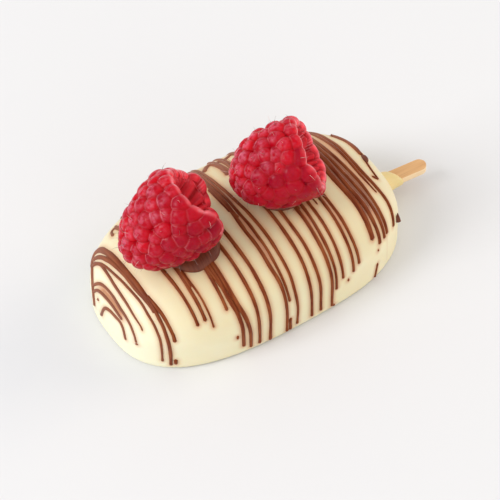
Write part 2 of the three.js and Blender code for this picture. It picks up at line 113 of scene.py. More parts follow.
# Lines that wander: (width, share of it left at the last point, points from back to front).
# A point is (x, y) on the dome, or (x, y, height) where the side is too steep for that.
WANDERING_LINES = [
    # round end
    (0.8, 0.7, [(-36.2, 2.2, 4.9), (-36.0, 1.6, 6.3), (-35.8, 0.4, 9.3), (-35.6, -1.5, 10.4),
                (-35.4, -3.8, 10.5), (-35.2, -5.4, 10.2), (-35.3, -6.6, 8.8), (-35.2, -7.2, 5.9)]),
    (0.7, 0.6, [(-35.2, 6.8, 9.9), (-34.5, 5.0), (-34.1, 2.9), (-34.0, -0.4), (-34.2, -3.6),
                (-34.2, -5.9), (-34.2, -8.0), (-34.2, -9.4, 9.4), (-34.1, -10.0, 7.2)]),
    (0.8, 0.7, [(-35.5, 6.1, 8.6), (-35.2, 4.5), (-35.0, 2.6), (-34.9, -0.2), (-34.9, -2.6),
                (-34.9, -4.8), (-34.9, -5.6)]),
    (1.1, 1.0, [(-32.4, 11.3, 11.3), (-33.5, 9.5, 11.4), (-34.4, 7.9, 10.9), (-35.1, 6.6, 9.9),
                (-35.5, 5.7, 8.4), (-35.6, 5.5, 6.0), (-35.6, 5.7, 4.2)]),
    (0.72, 0.35, [(-32.9, 10.2, 11.7), (-32.3, 8.4), (-32.3, 6.0), (-32.5, 3.3), (-32.7, 1.0),
                  (-32.8, -1.7), (-32.9, -4.7), (-33.0, -7.3), (-32.8, -9.8), (-32.8, -10.7)]),
    (0.62, 0.9, [(-32.7, 10.4, 12.3), (-32.1, 8.0), (-31.8, 5.7), (-31.5, 3.0), (-31.1, -0.1),
                 (-30.9, -3.4), (-30.7, -6.7), (-30.7, -9.5), (-30.5, -12.0), (-30.4, -13.9),
                 (-30.5, -14.6, 7.1), (-30.4, -14.6, 2.8)]),
    (1.5, 0.6, [(-33.2, 10.0, 11.3), (-32.2, 11.8, 11.2), (-31.1, 12.9, 11.2),
                (-30.5, 12.4, 12.9), (-30.1, 11.2), (-29.9, 9.4), (-29.7, 7.0), (-29.6, 4.0),
                (-29.5, 0.8), (-29.4, -2.5), (-29.3, -5.6), (-29.1, -8.6)]),
    (1.1, 0.8, [(-32.5, 11.0, 11.6), (-32.0, 11.2, 12.2), (-31.5, 10.3), (-31.1, 9.0),
                (-30.8, 7.5), (-30.5, 5.8), (-30.3, 3.6), (-30.1, 1.0), (-30.0, -1.6),
                (-29.9, -4.0), (-29.6, -6.6), (-29.4, -8.8), (-29.3, -10.6)]),
    (0.86, 0.85, [(-29.3, -6.4), (-29.1, -8.9), (-29.2, -11.4), (-29.1, -13.6), (-29.0, -15.2),
                  (-28.9, -15.6, 6.5), (-29.0, -15.6, 1.5)]),
    (0.84, 0.8, [(-29.1, -6.4), (-28.7, -8.9), (-28.3, -11.6), (-28.1, -13.7), (-27.9, -15.3),
                 (-27.8, -15.9, 9.6)]),
    (0.5, 0.7, [(-20.4, -8.2), (-20.1, -10.8), (-19.8, -14.0), (-19.6, -17.0), (-19.5, -18.6)]),
    (1.3, 0.4, [(-20.8, -5.0), (-20.7, -7.5), (-20.6, -9.6), (-20.7, -11.2)]),
    (0.7, 0.9, [(-26.6, 11.6), (-26.2, 13.2), (-25.4, 13.8), (-24.9, 13.5), (-24.8, 12.3),
                (-24.6, 10.5)]),
    # in front of the near dab
    (1.06, 0.66, [(-15.0, -6.0), (-14.9, -8.5), (-14.8, -10.8), (-14.7, -13.1), (-14.6, -15.8),
                  (-14.3, -17.6), (-13.9, -18.8), (-13.6, -19.9), (-13.4, -20.3, 9.1),
                  (-13.2, -20.4, 2.6)]),
    (1.01, 0.68, [(-14.0, -6.0), (-13.9, -8.5), (-13.8, -10.8), (-13.7, -13.6), (-13.5, -16.4),
                  (-13.1, -18.3), (-12.5, -19.5), (-12.0, -20.3, 10.3), (-11.5, -20.6, 6.4),
                  (-11.5, -20.6, 1.3)]),
    (0.9, 0.7, [(-15.5, -6.0), (-15.4, -9.0), (-15.1, -12.0), (-14.7, -14.6), (-14.4, -16.6)]),
    (0.9, 0.9, [(-17.0, 17.2), (-16.4, 12.0), (-15.8, 6.0), (-15.4, 1.0)]),
    (0.9, 0.9, [(-16.6, 19.9, 5.5), (-16.0, 16.0), (-15.2, 10.0), (-14.4, 3.0)]),
    # between the raspberries
    (0.8, 0.8, [(-4.1, 8.4), (-4.0, 3.8), (-3.8, -0.3)]),
    (0.95, 0.7, [(-4.6, 20.4, 2.4), (-4.5, 20.3, 8.0), (-4.3, 18.2), (-4.0, 14.5), (-3.7, 10.5),
                 (-3.5, 6.9), (-3.4, 3.9), (-3.4, 0.6), (-3.6, -3.0), (-3.7, -6.4), (-3.5, -9.5),
                 (-3.3, -12.4), (-3.1, -15.3), (-2.6, -18.1), (-2.4, -19.8), (-2.3, -20.8, 9.7),
                 (-2.2, -20.9, 5.3), (-2.3, -20.9, 0.8)]),
    (0.76, 0.8, [(-3.0, 19.9, 10.9), (-3.0, 18.4), (-2.9, 15.6), (-2.9, 12.4), (-2.8, 9.3),
                 (-2.6, 5.7), (-2.4, 2.3), (-2.3, -1.5), (-2.1, -5.4), (-2.1, -8.7), (-1.9, -12.0),
                 (-1.8, -15.1), (-1.6, -18.2), (-1.5, -19.8), (-1.4, -20.7, 10.6)]),
    (0.78, 1.0, [(-1.5, -20.9, 5.2), (-1.5, -20.9, 0.8)]),
    (0.82, 0.72, [(-2.2, 19.0), (-2.2, 16.4), (-2.1, 13.1), (-1.9, 10.4), (-1.7, 7.1),
                  (-1.4, 4.0), (-1.1, 1.0), (-0.7, -1.8), (-0.4, -5.2), (-0.2, -8.3), (0.0, -11.4),
                  (0.1, -14.1), (0.2, -16.5), (0.3, -18.4), (0.3, -19.8), (0.4, -20.7, 10.1),
                  (0.5, -20.9, 6.2), (0.3, -20.9, 1.6)]),
    (0.9, 0.8, [(-3.3, 14.6), (-3.6, 9.8), (-3.6, 5.3), (-3.4, 1.4), (-3.2, -2.7)]),
    (1.12, 0.8, [(-1.4, 14.3), (-0.9, 15.2), (0.6, 16.4), (1.6, 16.0), (1.9, 14.1), (1.9, 11.7),
                 (1.7, 9.5)]),
    (0.9, 0.8, [(2.2, 14.6), (2.8, 15.9), (3.6, 15.7), (3.8, 13.8), (3.6, 11.0)]),
    (0.9, 0.8, [(3.9, 14.4), (4.5, 15.5), (5.4, 16.0), (6.9, 16.7), (7.4, 15.0), (7.0, 12.0)]),
    # under the far raspberry
    (0.56, 0.4, [(13.5, 9.0), (13.6, 2.0), (13.7, -5.0), (13.9, -8.0)]),
    (0.78, 0.6, [(9.4, 6.0), (9.5, -2.0), (9.5, -7.5)]),
    # stick end
    (1.4, 1.0, [(20.1, 20.0, 5.6), (20.2, 18.5), (20.5, 14.0), (20.9, 8.0), (21.2, 2.0),
                (21.2, -1.6), (21.3, -5.1), (21.6, -7.6), (22.0, -10.2), (22.2, -12.8),
                (22.3, -15.0), (22.3, -16.8), (22.3, -17.8)]),
    (1.34, 0.8, [(21.2, 18.8, 8.6), (21.4, 16.0), (21.8, 11.0), (22.3, 6.0), (22.7, 2.4),
                 (22.7, -1.0), (22.8, -4.4), (23.0, -7.3), (23.4, -9.8), (23.8, -12.2),
                 (24.0, -14.4), (24.1, -16.2), (24.1, -17.6), (24.0, -18.0, 10.4)]),
    (0.95, 0.85, [(22.6, 18.6, 4.2), (22.8, 16.4), (23.2, 11.0), (23.8, 5.0), (24.0, 1.2),
                  (24.3, -2.4), (24.6, -5.6), (24.9, -8.6), (25.3, -11.4), (25.6, -13.6),
                  (25.8, -15.8), (25.7, -17.3)]),
    (1.05, 0.85, [(23.9, 17.4, 9.9), (24.1, 14.0), (24.4, 10.0), (24.8, 6.0), (25.4, 2.6),
                  (25.9, -1.0), (26.2, -5.0), (26.4, -8.4), (26.6, -11.2), (26.8, -13.8),
                  (26.9, -15.6), (26.8, -16.7)]),
    (1.29, 0.65, [(26.0, 16.5, 5.8), (26.4, 14.8), (27.0, 12.4), (27.6, 9.8), (28.4, 6.4),
                  (28.6, 2.4), (28.8, -1.0), (29.0, -4.0), (29.5, -6.9), (29.9, -9.1),
                  (30.3, -11.2), (30.3, -12.8), (30.0, -14.2), (29.5, -15.3)]),
    (0.9, 0.25, [(25.8, 13.4), (26.4, 10.4), (27.1, 7.0), (27.6, 3.4), (27.8, -0.6),
                 (27.9, -4.6), (28.4, -7.9), (28.8, -9.3)]),
    (2.3, 0.6, [(29.6, 11.6, 14.6), (30.7, 10.9, 14.4), (31.4, 9.8, 14.3), (32.1, 8.6, 14.1),
                (32.6, 7.1, 14.1), (32.8, 5.3, 14.3), (32.8, 3.4, 14.6), (32.7, 2.2, 14.8)]),
    (0.6, 0.9, [(32.4, 0.9, 15.0), (32.0, -1.0, 15.3), (31.9, -1.9, 15.4), (31.8, -3.3, 15.5),
                (31.7, -4.6, 15.4), (31.7, -5.4, 15.3), (31.1, -5.1, 15.8), (30.6, -4.5, 16.2)]),
    (0.5, 0.8, [(23.1, -18.6, 5.1), (22.7, -18.8, 2.9), (22.3, -18.9, 1.0)]),
]

# Drops and specks: (x, y, height, width, length down the side).
SPECKS = [
    (-35.7, 3.3, 9.2, 0.75, 0.8),
    (-34.1, -10.0, 6.8, 0.8, 0.8),
    (-28.0, -16.1, 2.8, 0.72, 2.0),
    (10.0, -20.8, 1.3, 0.9, 0.8),
    (22.3, -18.9, 1.1, 0.7, 0.8),
    (-14.6, -20.2, 6.9, 0.5, 1.4),
    (14.1, -20.4, 7.1, 0.4, 1.1),
    (23.3, -18.5, 9.3, 0.35, 0.8),
]

# The bead of chocolate that each line is.
BEAD_STEP = 0.3
BEAD_SIDES = 12
BEAD_HEIGHT = 0.3  # of a line of ordinary width
BEAD_HEIGHT_POWER = 0.45  # below 1, so that a wide line is flatter
ORDINARY_HALF_WIDTH = 0.38
SLOW_UNEVENNESS = (6, 0.16)  # of a line's width: (over what length, share)
QUICK_UNEVENNESS = (1.7, 0.09)
SWAY = (8, 0.16)  # of a line from its course: (over what length, how far)
THINNING_SHARE = 0.45  # share of a line over which it thins towards its last point
THINNING_POWER = 1.5
END_LENGTH = 0.45  # over which a line's end rounds off
SMALLEST_END = 0.02  # how much of the rounding is left at the very end
DROP_LENGTH = 1.4  # over which a line swells before its end
END_SWELL = 0.07

# Where chocolate ran together between two lines, as a thin film on the coating:
# (place and slant of one line, place and slant of the other, front y, back y, strength).
FILMS = [
    (21.1, -0.07, 22.8, -0.07, -16.0, 19.0, 1.0),
    (22.6, -0.07, 24.1, -0.07, -15.0, 19.0, 1.0),
    (24.1, -0.072, 25.6, -0.072, -17.5, 19.0, 0.9),
    (25.6, -0.07, 27.6, -0.10, -10.0, 12.0, 0.32),
    (27.2, -0.10, 28.6, -0.10, -8.0, 14.0, 0.75),
    (-3.6, -0.045, -2.2, -0.041, -17.0, 17.0, 0.5),
    (-3.0, -0.041, -1.1, -0.072, -1.0, 18.0, 0.6),
    (-15.9, -0.02, -13.9, -0.02, -13.5, -7.0, 0.8),
    (-14.7, -0.04, -13.5, -0.03, -17.5, -8.0, 0.6),
    (15.1, -0.033, 16.0, -0.068, -17.0, 8.0, 0.45),
    (8.8, -0.045, 10.4, -0.026, -14.0, 3.0, 0.5),
    (10.4, -0.026, 12.2, -0.025, -9.5, -4.0, 0.4),
    (-21.3, -0.03, -20.2, -0.05, -12.0, -5.0, 0.8),
    (-35.1, -0.03, -34.2, -0.03, -7.0, 5.5, 0.6),
]
BLEED_REACH = 1.4  # from the chocolate, over which its colour bled into the coating
FILM_HEIGHT = 0.1
FILM_EDGE = 0.2  # over which it thins out at a line
FILM_FADE = 3.0  # over which it thins out at its two ends
FILM_LOWEST = 2  # the height on the bar's side below which there is none

# Chocolate dabs under the raspberries: (x, y, radius along X, radius along Y, rise).
DABS = [
    (-15.4, -3.0, 6.3, 6.4, 1.5),
    (8.2, -0.6, 6.0, 5.7, 1.2),
]
DAB_LOBES = (1.6, 0.05)  # of a dab's edge: (how close together, share of the radius)
DAB_POWERS = (0.7, 0.8)  # of its outline, across and up: 1 and 1 would be an ellipse
DAB_SUNK = 1.2

# Chocolate that set standing off the side: (foot, tip, radius, rounded at both ends).
DRIPS = [
    ((31.6, -13.9, 8.9), (31.9, -13.2, 11.3), 0.78, False),
    ((32.95, 2.7, 14.6), (32.35, -0.1, 15.3), 0.72, True),
]
DRIP_FLATNESS = 0.8  # its thickness, as a share of its width

# ------------------------------------------------------------------ the raspberries

# Each lies on its side with its open end towards the stick. `turn` is seen from above, `lift` tips
# the open end up, `widest` is the place of the widest part from the open end, and `lean` is how far
# the open end slants towards the back. `flaps` are places where the open end's edge stands out or
# has folded in: (angle round the berry, angle it reaches over, how far out, widening).
# `worn` is how flat and plain its worn side is, from 0 to 1, and `bright_from` is where the
# hollow's painted glow, which stands in for light through its walls, starts, from the start of the
# rim.
BERRIES = [
    {
        "name": "near_berry",
        "node": "raspberry_near",
        "middle": (-21.2, -0.95, 28.95),
        "turn": math.radians(-7),
        "lift": math.radians(31),
        "length": 21.3,
        "radius": 10.4,
        "widest": 4.1,
        "mouth_narrowing": 0.3,
        "tip_power": 1.75,
        "lean": 0.3,
        "flaps": [(168, 27, 3.5, -0.1), (-33, 23, 2.7, 0.05), (36, 34, -0.9, -0.035)],
        "worn": 0.0,
        "bright_from": 0.5,
        "seed": 5,
    },
    {
        "name": "far_berry",
        "node": "raspberry_far",
        "middle": (6.8, -0.55, 30.15),
        "turn": math.radians(-18.5),
        "lift": math.radians(16),
        "length": 19.4,
        "radius": 9.6,
        "widest": 4.2,
        "mouth_narrowing": 0.28,
        "tip_power": 2.15,
        "lean": -0.4,
        "flaps": [(137, 18, -1.4, -0.06), (-70, 47, 2.2, 0.045), (-10, 35, 1.6, 0.015)],
        "worn": 0.75,
        "bright_from": -0.1,
        "seed": 11,
    },
]
HOLLOW = {
    "mouth": 6.7,  # its radius at the open end
    "end": 3.4,  # its radius before its end closes
    "depth": 12.5,
    "narrowing_power": 0.8,
    "end_roundness": 0.5,  # 1 would be half a ball
}
GRID_ROWS, GRID_SIDES = 272, 328
RIM_DEPTH = 2.0  # the rim's rounding, from the open end
MOUTH_REACH = 9.0  # from the open end, the part that leans and has flaps
LUMPS = 0.2  # how deep the slow lumps of the whole berry are

RIM_PITCH = 3.5  # between neighbouring drupelets at the open end
TIP_PITCH = 2.75
RIM_SPACING = 1.08  # between those in the row on the rim, as a share of the pitch
RIM_JITTER = 0.1  # how far they are from even places, as a share of their spacing
GRID_STRIDE = 3  # only every third row and side may hold the middle of another drupelet
CHOICE_SPREAD = 0.02  # chance in where the next one goes, as a share of the pitch
PACKING = 0.73  # no place on the side is further from a drupelet, as a share of the pitch
EVENING_ROUNDS = 8  # of moving each one to the middle of the skin that is nearest to it
PITCH_SPREAD = 0.05  # share by which drupelets differ in size
DOME = 0.76  # how far and how deep a drupelet would bulge by itself, as a share of the pitch
FLATNESS = 2.4  # of its top: 2 would be round
WORN_FLATNESS = 2.2  # added to that on a fully worn side
STAND = 0.28  # how far its top stands above the cup, as a share of the pitch
STAND_SPREAD = 0.13  # by which drupelets differ in height
RIM_STRETCH = 1.5  # how much further a drupelet on the rim reaches on the hollow's side
RIM_LOWERED = (2.5, 0.6)  # how its height falls off there: (over what length, by what share)
DIMPLE, DIMPLE_WIDTH = 0.1, 0.35  # where the dried style stood
SOFTNESS = 0.04  # over which neighbouring drupelets run together
LOWEST = -0.6  # of the grooves
NOWHERE = -9.0  # a height below everything
UNFELT = -3.0  # a height below which a drupelet changes nothing
PLEATS = 19  # round the hollow, where the drupelets' inner ends meet
PLEAT_HEIGHT = 0.8

LIGHT_SIDE = (-0.7, 0.57, 0.4)  # the side the window light comes from, where painted sheen and painted highlights are strongest, in the berry's own axes
WORN_AND_SHADED_SIDE = (0.0, -0.82, -0.57)  # where drupelets are pressed flat, and where their colour is painted deeper as shade, in the same axes
LIT_SIDEWAYS = 0.15  # how lit the skin is painted where it faces sideways to the light side
BLOOM_REACH = 0.6  # from a drupelet's top, as a share of the pitch
BLOOM_SPREAD = 1.8  # above 1, so that the bloom is even round the top and fades at its edge
GROOVE_FADE = 0.3  # height over which the painted shade of the grooves fades
CREASE_FADE = 0.16  # height above the hollow's wall over which the painted shade of a crease fades
EDGE_HEIGHT = 0.27  # of the painted pale highlight above the grooves
EDGE_UNTURNED = 0.15  # its strength where the drupelet faces as the cup below it does
EDGE_GROWTH = 1.6  # how fast that grows as the drupelet turns to the light side
LEAST_EDGE = 0.25  # share of it that is left on the unlit side of a berry that isn't worn
RIM_LINE = 1.1  # from the rim's start to the pale line along its edge
RIM_LINE_WIDTH = 0.3
RIM_LINE_STRENGTH = 0.6
BRIGHTENING = 1.5  # the length over which the hollow's painted glow comes in
FIBRES = 82  # fine pale lines round the hollow's mouth
FIBRES_MIDDLE = math.radians(5)  # the angle round the berry where they are strongest
FIBRES_REACH = 0.8  # the angle over which they fade to either side
FIBRES_STRENGTH = 0.9

HAIR_SHARE = 0.65  # of the drupelets, which still have their dried style
HAIRS = {
    "Shortest": 0.9 * MM,
    "Longest": 2.2 * MM,
    "Thickness": 0.024,  # its radius at the root, as a share of its length
    "Lean": 0.45,  # how far it may lean, as a share of its rise
}

# ------------------------------------------------------------------ making meshes


def in_frame(points):
    """Points in millimetres about the bar's middle, as metres in the frame."""
    return (np.asarray(points, float) + (BAR_MIDDLE_X, 0, 0)) * MM


def scene_object(name, data):
    """A new object in the scene, at the origin."""
    made = bpy.data.objects.new(name, data)
    bpy.context.scene.collection.objects.link(made)
    return made


def shade_smooth(mesh):
    """Shades every face smooth."""
    mesh.polygons.foreach_set("use_smooth", [True] * len(mesh.polygons))
    mesh.update()


def mesh_object(name, points, faces, edges=()):
    """A smooth-shaded object from points in millimetres."""
    mesh = bpy.data.meshes.new(name)
    mesh.from_pydata([tuple(point) for point in in_frame(points)], list(edges), faces)
    shade_smooth(mesh)
    return scene_object(name, mesh)


def store(made, attribute, values):
    """A number for each vertex, for a material or a node tree to read."""
    layer = made.data.attributes.new(attribute, "FLOAT", "POINT")
    layer.data.foreach_set("value", np.asarray(values, np.float32))


def store_vectors(made, attribute, vectors):
    """A vector for each vertex, for a node tree to read."""
    layer = made.data.attributes.new(attribute, "FLOAT_VECTOR", "POINT")
    layer.data.foreach_set("vector", np.asarray(vectors, np.float32).ravel())


def vertex_array(made, what="co"):
    """The vertices' places or normals as an array."""
    flat = np.zeros(len(made.data.vertices) * 3, np.float32)
    made.data.vertices.foreach_get(what, flat)
    return flat.reshape(-1, 3)


def full_turn(sides):
    """Angles that divide a full turn evenly."""
    return np.arange(sides) * 2 * math.pi / sides


def neighbours(row, sides):
    """Each point in a ring, with the next one round."""
    return [(row * sides + side, row * sides + (side + 1) % sides) for side in range(sides)]


def lofted(rings):
    """Points and faces of a closed surface through rings that run upwards, turning anticlockwise."""
    sides = len(rings[0])
    points = [tuple(point) for ring in rings for point in ring]
    faces = []
    for row in range(len(rings) - 1):
        faces.extend((a, b, b + sides, a + sides) for a, b in neighbours(row, sides))
    for row, is_last in ((0, False), (len(rings) - 1, True)):
        points.append(tuple(np.mean(rings[row], axis=0)))
        pole = len(points) - 1
        faces.extend((a, b, pole) if is_last else (b, a, pole) for a, b in neighbours(row, sides))
    return points, faces


def evaluated_copy(made, name):
    """A new plain object with the modifiers' result. The first object is removed."""
    graph = bpy.context.evaluated_depsgraph_get()
    mesh = bpy.data.meshes.new_from_object(made.evaluated_get(graph))
    bpy.data.objects.remove(made)
    mesh.name = name
    return scene_object(name, mesh)


# ------------------------------------------------------------------ node trees


def add_node(tree, kind, inputs=None, **settings):
    """A new node. Each input is a value, or an output socket to link from."""
    made = tree.nodes.new(kind)
    for name, value in settings.items():
        setattr(made, name, value)
    for name, value in (inputs or {}).items():
        if isinstance(value, bpy.types.NodeSocket):
            tree.links.new(value, made.inputs[name])
        else:
            made.inputs[name].default_value = value
    return made


def worked_out(tree, operation, first, second, clamp=False):
    """The output of a node that does a sum with two values."""
    inputs = {0: first, 1: second}
    node = add_node(tree, "ShaderNodeMath", inputs, operation=operation, use_clamp=clamp)
    return node.outputs[0]


def new_tree(name, inputs):
    """A Geometry Nodes tree with named inputs, given as {name: socket type}."""
    tree = bpy.data.node_groups.new(name, "GeometryNodeTree")
    tree.interface.new_socket("Geometry", in_out="OUTPUT", socket_type="NodeSocketGeometry")
    tree.interface.new_socket("Geometry", in_out="INPUT", socket_type="NodeSocketGeometry")
    for label, kind in inputs.items():
        tree.interface.new_socket(label, in_out="INPUT", socket_type=kind)
    return tree, tree.nodes.new("NodeGroupInput").outputs


def finish_tree(tree, geometry, material):
    """The last nodes of a tree: instances are made real, and the material is set."""
    real = add_node(tree, "GeometryNodeRealizeInstances", {"Geometry": geometry})
    smooth = add_node(tree, "GeometryNodeSetShadeSmooth", {"Geometry": real.outputs[0]})
    finish = {"Geometry": smooth.outputs[0], "Material": material}
    dressed = add_node(tree, "GeometryNodeSetMaterial", finish)
    add_node(tree, "NodeGroupOutput", {"Geometry": dressed.outputs[0]})


def grown(source, tree, values, name):
    """The mesh that a tree makes from an object, as a new object. The source is removed."""
    modifier = source.modifiers.new(tree.name, "NODES")
    modifier.node_group = tree
    for item in tree.interface.items_tree:
        if item.in_out == "INPUT" and item.name in values:
            modifier[item.identifier] = values[item.name]
    return evaluated_copy(source, name)


def attribute(tree, name, kind="FLOAT"):
    """The output of a node that reads an attribute by name."""
    node = add_node(tree, "GeometryNodeInputNamedAttribute", {"Name": name}, data_type=kind)
    return node.outputs["Attribute"]


# ------------------------------------------------------------------ materials

# Object coordinates are metres in the frame. The bar's round end is near X -0.042, its back near
# Y 0.021 and its top near Z 0.022.


def new_material(name, **constants):
    """A material with the main shader's constant inputs set. Underscores stand for spaces."""
    made = bpy.data.materials.new(name)
    made.use_nodes = True
    shader = made.node_tree.nodes["Principled BSDF"]
    for key, value in constants.items():
        shader.inputs[key.replace("_", " ")].default_value = value
    return made, made.node_tree, shader


def mixed(tree, factor, first, second):
    """The output of a node that mixes two colours."""
    inputs = {0: factor, 6: first, 7: second}
    return add_node(tree, "ShaderNodeMix", inputs, data_type="RGBA").outputs[2]


def ranged(tree, value, low, high, to_low, to_high):
    """The output of a node that maps one range to another."""
    inputs = {"Value": value, 1: low, 2: high, 3: to_low, 4: to_high}
    return add_node(tree, "ShaderNodeMapRange", inputs).outputs[0]


def speckle(tree, scale, detail=3.0, vector=None):
    """The output of a noise in Object coordinates, about `scale` spots for each metre."""
    if vector is None:
        vector = add_node(tree, "ShaderNodeTexCoord").outputs["Object"]
    node = add_node(tree, "ShaderNodeTexNoise", {"Vector": vector, "Scale": scale, "Detail": detail})
    return node.outputs[0]


def surface_value(tree, name):
    """The output of a node that reads a vertex attribute."""
    return add_node(tree, "ShaderNodeAttribute", attribute_name=name).outputs["Fac"]


def roughened(tree, shader, height, strength, depth):
    """Gives the shader a bump of the given depth in metres."""
    inputs = {"Height": height, "Strength": strength, "Distance": depth}
    bump = add_node(tree, "ShaderNodeBump", inputs)
    tree.links.new(bump.outputs[0], shader.inputs["Normal"])


def coating_material():
    """A set pale coating: creamy, softly see-through, with a satin face. It is painted paler at the
    round end as painted light, and darker on the dome's top as painted shade.
    """
    made, tree, shader = new_material(
        "coating", Roughness=0.42, IOR=1.45, Subsurface_Weight=0.35,
        Subsurface_Radius=(1.0, 0.75, 0.45), Subsurface_Scale=0.0018, Specular_IOR_Level=0.5)
    lit_end_cream = (0.87, 0.835, 0.62, 1)
    cream = (0.87, 0.80, 0.55, 1)
    warm_cream = (0.85, 0.755, 0.48, 1)
    shaded_top_cream = (0.70, 0.60, 0.375, 1)
    thick_cream = (0.79, 0.61, 0.26, 1)
    bled = (0.68, 0.36, 0.17, 1)
    thin_film = (0.60, 0.29, 0.15, 1)
    thick_film = (0.23, 0.073, 0.029, 1)
    patches = ranged(tree, speckle(tree, 110), 0.35, 0.65, 0.0, 1.0)
    tint = mixed(tree, patches, cream, warm_cream)
    place = add_node(tree, "ShaderNodeTexCoord").outputs["Object"]
    axes = add_node(tree, "ShaderNodeSeparateXYZ", {0: place}).outputs
    # Painted light: the round end, which faces the window light, is painted paler and whiter.
    tint = mixed(tree, ranged(tree, axes["X"], -0.040, -0.031, 1.0, 0.0), tint, lit_end_cream)
    # Painted shade: the dome's top, away from the round end, is painted darker, where the berries
    # cast shade and less light falls.
    middle = ranged(tree, axes["X"], -0.040, -0.029, 0.0, 1.0)
    high = ranged(tree, axes["Z"], 0.009, 0.019, 0.0, 1.0)
    tint = mixed(tree, worked_out(tree, "MULTIPLY", middle, high), tint, shaded_top_cream)
    tint = mixed(tree, surface_value(tree, "collar"), tint, thick_cream)
    fading = worked_out(tree, "POWER", surface_value(tree, "stain"), 2.1)
    # The bleed is weaker at the round end, so that the painted light there stays pale.
    strength = ranged(tree, axes["X"], -0.038, -0.026, 0.6, 0.9)
    tint = mixed(tree, worked_out(tree, "MULTIPLY", fading, strength), tint, bled)
    film = surface_value(tree, "film")
    tint = mixed(tree, ranged(tree, film, 0.0, 0.5, 0.0, 1.0), tint, thin_film)
    tint = mixed(tree, ranged(tree, film, 0.45, 1.0, 0.0, 1.0), tint, thick_film)
    tree.links.new(tint, shader.inputs["Base Color"])
    gloss = ranged(tree, speckle(tree, 260), 0.3, 0.7, 0.36, 0.5)
    tree.links.new(gloss, shader.inputs["Roughness"])
    roughened(tree, shader, speckle(tree, 900, 4.0), 0.12, 0.0002)
    return made


DRIZZLE_CHOCOLATE = {
    "dark": (0.15, 0.024, 0.005, 1),
    "light": (0.27, 0.068, 0.019, 1),
    "gloss": 0.12,
}
# The dabs' chocolate is darker and redder than the drizzle's: painted shade under the berry, and the
# berry's painted red reflection.
SHADED_DAB_CHOCOLATE = {
    "dark": (0.12, 0.026, 0.012, 1),
    "light": (0.19, 0.048, 0.020, 1),
    "gloss": 0.35,
}
PAINTED_SHEEN_CHOCOLATE = (0.33, 0.15, 0.10, 1)  # a paler grey brown painted at the round end and on the back: painted sheen, seen there at a grazing angle


def chocolate_material(name, dark, light, gloss):
    """Set milk chocolate, smooth with a soft gloss, finely ribbed along the lines, and with a
    painted sheen at the round end and on the back.
    """
    made, tree, shader = new_material(
        name, Roughness=0.42, IOR=1.46, Subsurface_Weight=0.06,
        Subsurface_Radius=(1.0, 0.5, 0.3), Subsurface_Scale=0.0008, Specular_IOR_Level=gloss,
        Sheen_Weight=0.5, Sheen_Roughness=0.18, Sheen_Tint=(1.0, 0.88, 0.82, 1))
    place = add_node(tree, "ShaderNodeTexCoord").outputs["Object"]
    drawn_out = add_node(tree, "ShaderNodeMapping", {"Vector": place, "Scale": (1.0, 0.05, 0.12)})
    ribs = speckle(tree, 2300, 1.0, drawn_out.outputs[0])
    patches = ranged(tree, speckle(tree, 260), 0.35, 0.65, -0.3, 0.3)
    ribbed = ranged(tree, ribs, 0.3, 0.7, 0.0, 1.0)
    share = worked_out(tree, "ADD", ribbed, patches, clamp=True)
    axes = add_node(tree, "ShaderNodeSeparateXYZ", {0: place}).outputs
    # Painted sheen: at the round end and towards the back the brown is mixed towards a paler grey
    # brown.
    at_end = ranged(tree, axes["X"], -0.040, -0.034, 0.5, 0.0)
    behind = ranged(tree, axes["Y"], 0.002, 0.011, 0.0, 0.55)
    painted_sheen = worked_out(tree, "MAXIMUM", at_end, behind)
    tint = mixed(tree, painted_sheen, mixed(tree, share, dark, light), PAINTED_SHEEN_CHOCOLATE)
    tree.links.new(tint, shader.inputs["Base Color"])
    roughened(tree, shader, ribs, 0.5, 0.00012)
    return made


def raspberry_material():
    """Raspberry flesh: juicy and see-through under a fine pale dust, with painted glow, shade, sheen
    and highlights.
    """
    made, tree, shader = new_material(
        "raspberry", Roughness=0.4, IOR=1.38, Subsurface_Weight=0.45,
        Subsurface_Radius=(1.0, 0.12, 0.12), Subsurface_Scale=0.0008, Sheen_Weight=0.2,
        Sheen_Roughness=0.2, Sheen_Tint=(1.0, 0.55, 0.6, 1), Specular_IOR_Level=0.15)
    deep = (0.29, 0.0015, 0.014, 1)
    bright = (0.56, 0.003, 0.012, 1)
    groove_shade = (0.38, 0.001, 0.006, 1)
    bloom_and_sheen = (0.72, 0.17, 0.26, 1)
    pale = (0.95, 0.35, 0.41, 1)
    lit_inside = (0.92, 0.055, 0.080, 1)
    # The tone is each drupelet's own, with painted glow where light would come through it and
    # painted shade on the lower side.
    flesh = mixed(tree, surface_value(tree, "tone"), deep, bright)
    # Painted glow: the hollow is painted a brighter red, as light coming through its walls, lighter
    # on one side of each pleat.
    flesh = mixed(tree, surface_value(tree, "inside"), flesh, lit_inside)
    # Painted shade: the grooves and the hollow's creases are a darker, more saturated red.
    flesh = mixed(tree, surface_value(tree, "groove_shade"), flesh, groove_shade)
    dust = ranged(tree, speckle(tree, 900, 5.0), 0.38, 0.66, 0.0, 0.9)
    # Bloom, strongest on the lit side, is partly real pale dust and partly painted sheen.
    dust_and_sheen = worked_out(tree, "MULTIPLY", surface_value(tree, "bloom_and_sheen"), dust)
    tint = mixed(tree, dust_and_sheen, flesh, bloom_and_sheen)
    patchy = ranged(tree, speckle(tree, 350, 2.0), 0.38, 0.62, 0.3, 1.0)
    # Painted highlights: the pale edges of the drupelets, with the pale lines of the rim and the
    # mouth.
    highlights_and_lines = worked_out(tree, "MULTIPLY", surface_value(tree, "edge"), patchy)
    tree.links.new(mixed(tree, highlights_and_lines, tint, pale), shader.inputs["Base Color"])
    gloss = ranged(tree, dust_and_sheen, 0.0, 1.0, 0.22, 0.42)
    tree.links.new(gloss, shader.inputs["Roughness"])
    roughened(tree, shader, speckle(tree, 2200, 3.0), 0.25, 0.0001)
    return made


